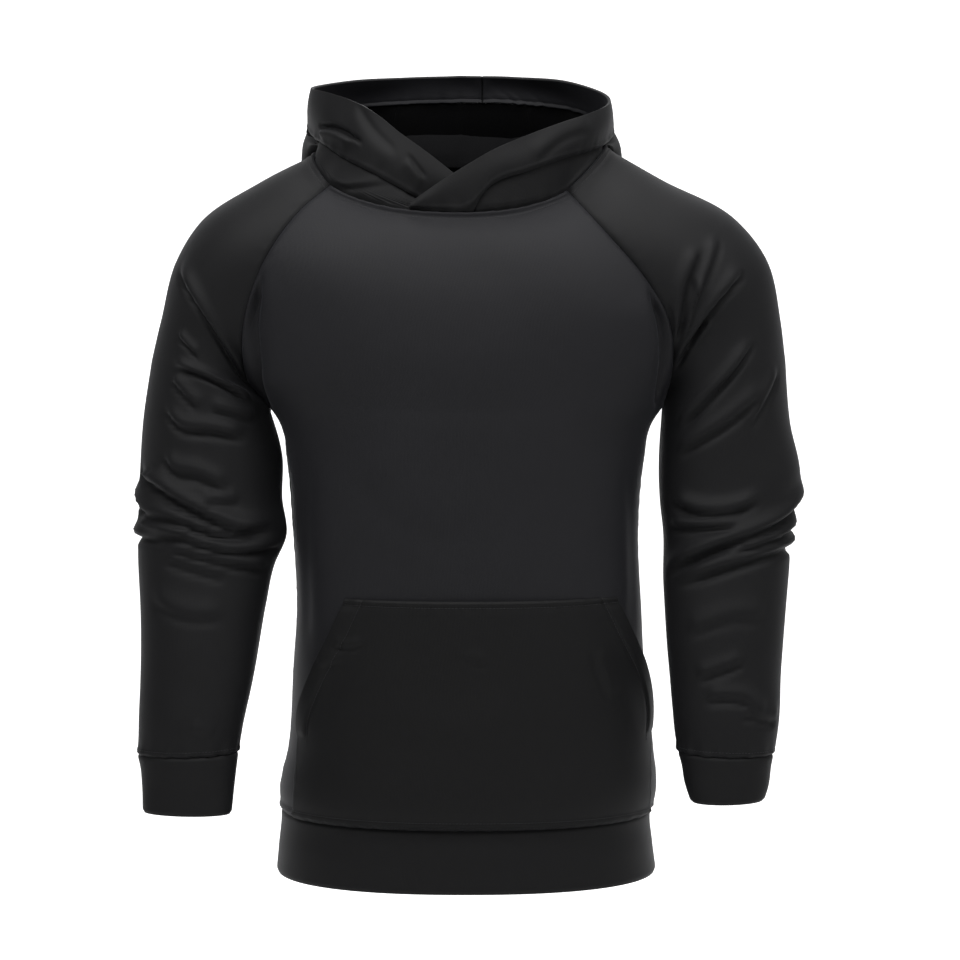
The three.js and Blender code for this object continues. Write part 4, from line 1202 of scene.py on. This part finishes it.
# Hood bands
# Strips of the fleece folded double round the face opening and joined over the head. At the neck
# the left one crosses over the right one, and both run into the neck seam.
BANDS_JOIN_AT = 76  # degrees round the neck, a little to one side of the middle of the head
BAND_ROLL = 2.0  # the doubled cloth is not pressed flat
HOOD_BANDS = {
    "hood_band_left": (OVER_END, BANDS_JOIN_AT + SEAM_LAP),
    "hood_band_right": (BANDS_JOIN_AT, 180 - UNDER_END),
}
BAND_CREASES = {
    "hood_band_left": [
        (front_line((62, 680), (90, 704), (118, 716)), 10, 1.8, 1.6),
    ],
    "hood_band_right": [
        (front_line((-102, 707), (-120, 716), (-138, 720)), 6, 5.6, 8.5),
        (front_line((-94, 703), (-111, 711)), 4, 2.0, 6.0),
        (front_line((-60, 690), (-84, 712), (-104, 742)), 11, 1.6, 1.6),
        (front_line((-36, 668), (-52, 690)), 8, 2.0, 2.2),
    ],
}
for name, (low, high) in HOOD_BANDS.items():
    band, laps = band_surface(low, high)
    from_edge = np.maximum(band.left - laps, 0)
    roll = np.sin(np.pi * from_edge / (from_edge + band.right))
    joined = band.top if name == "hood_band_left" else band.bottom
    band.lift(
        BAND_ROLL * roll
        + seam_roll(from_edge, 0.8, 1.4)
        + ridge_along(from_edge, 3.4, 0.6, 1.5)
        + pucker(band.bottom, from_edge, 0.3, 9)
        + seam_roll(joined, 1.4, 1.5)
        + (waver(band, 2.0, 50, 0.9) * roll + crease_height(band, BAND_CREASES[name])) * ease(0, 12, joined)
    )
    # Outside, the band takes the hood's darker copy of the fleece as painted shade; its inner facing takes
    # the front's lighter copy as painted light
    piece = cloth(f"{name}_strip", band, DOUBLED, (hood_shaded_face, fleece_face))
    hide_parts(name)

# Room
# A pale floor that curves up into a wall behind the garment, and soft lights above and in front.
# The camera stands at chest height and looks a little down. All sizes here are in metres.
# Depth and height along it, from the front of the floor to the top of the wall
BACKDROP = [(-7, -0.95), (2.9, -0.95), (3.3, -0.93), (3.7, -0.8), (4.0, -0.5), (4.2, 0.1), (4.25, 4.5)]
BACKDROP_HALF = 7
PALE = (0.88, 0.88, 0.88, 1)
# Painted light: the far floor and the wall glow by themselves, fading in with depth and fainter at the
# sides, in place of a lit backdrop
GLOW_STARTS, GLOW_FULL = 0.0, 0.75  # depths over which the floor begins to glow
GLOW_HALF, GLOW_ENDS = 1.3, 3.0  # sideways
GLOW_AT_SIDES = 0.3
floor_mesh = bpy.data.meshes.new("floor")
corners = [(x, y, z) for y, z in BACKDROP for x in (-BACKDROP_HALF, BACKDROP_HALF)]
faces = [(2 * i, 2 * i + 1, 2 * i + 3, 2 * i + 2) for i in range(len(BACKDROP) - 1)]
floor_mesh.from_pydata(corners, [], faces)
floor_mesh.polygons.foreach_set("use_smooth", [True] * len(floor_mesh.polygons))
floor_paint = bpy.data.materials.new("floor")
floor_paint.use_nodes = True
tree = floor_paint.node_tree
tree.nodes.clear()
spot = Wire.node(tree, "ShaderNodeNewGeometry")
depth = Wire.node(tree, "ShaderNodeSeparateXYZ", None, {0: spot}, "Y")
glow = Wire.node(
    tree,
    "ShaderNodeMapRange",
    {"interpolation_type": "SMOOTHSTEP"},
    {"Value": depth, "From Min": GLOW_STARTS, "From Max": GLOW_FULL, "To Min": 0.0, "To Max": 1.0},
)
across = Wire.node(tree, "ShaderNodeSeparateXYZ", None, {0: spot}, "X").math("ABSOLUTE")
centred = Wire.node(
    tree,
    "ShaderNodeMapRange",
    {"interpolation_type": "SMOOTHSTEP"},
    {"Value": across, "From Min": GLOW_HALF, "From Max": GLOW_ENDS, "To Min": 1.0, "To Max": GLOW_AT_SIDES},
)
glow = glow * centred
glow_colour = Wire.node(tree, "ShaderNodeCombineColor", None, {0: glow, 1: glow, 2: glow})
surface = Wire.node(
    tree,
    "ShaderNodeBsdfPrincipled",
    None,
    {"Base Color": PALE, "Roughness": 0.9, "Emission Color": glow_colour, "Emission Strength": 1.0},
)
Wire.node(tree, "ShaderNodeOutputMaterial", None, {"Surface": surface})
floor_mesh.materials.append(floor_paint)
floor = bpy.data.objects.new("floor", floor_mesh)
bpy.context.scene.collection.objects.link(floor)


def area_light(name, place, aim, size, power):
    light = bpy.data.lights.new(name, "AREA")
    light.size = size
    light.energy = power
    holder = bpy.data.objects.new(name, light)
    holder.location = place
    holder.rotation_euler = (Vector(aim) - Vector(place)).to_track_quat("-Z", "Y").to_euler()
    bpy.context.scene.collection.objects.link(holder)


area_light("key_right", place=(-0.65, -0.95, 0.9), aim=(0, 0, -0.06), size=0.8, power=11)
area_light("key_left", place=(0.5, -0.95, 0.95), aim=(0, 0, -0.06), size=0.8, power=9)
area_light("top", place=(0.1, 0.2, 1.25), aim=(0.05, 0, 0), size=0.9, power=10)
area_light("side", place=(2.0, -1.0, 0.8), aim=(0, 0, -0.1), size=0.8, power=6)

WORLD_LIGHT = 0.12
world = bpy.data.worlds.new("studio")
bpy.context.scene.world = world
world.use_nodes = True
world.node_tree.nodes["Background"].inputs["Color"].default_value = (1, 1, 1, 1)
world.node_tree.nodes["Background"].inputs["Strength"].default_value = WORLD_LIGHT
bpy.context.scene.view_settings.view_transform = "Standard"

CAMERA_PLACE = (0.0145, -2.5, -0.125)
CAMERA_LOOKS_DOWN = 4.217  # degrees
LENS = 96.6  # mm
camera_data = bpy.data.cameras.new("camera")
camera_data.sensor_width = 36
camera_data.lens = LENS
camera = bpy.data.objects.new("camera", camera_data)
camera.location = CAMERA_PLACE
camera.rotation_euler = (np.radians(90 - CAMERA_LOOKS_DOWN), 0, 0)
bpy.context.scene.collection.objects.link(camera)
bpy.context.scene.camera = camera
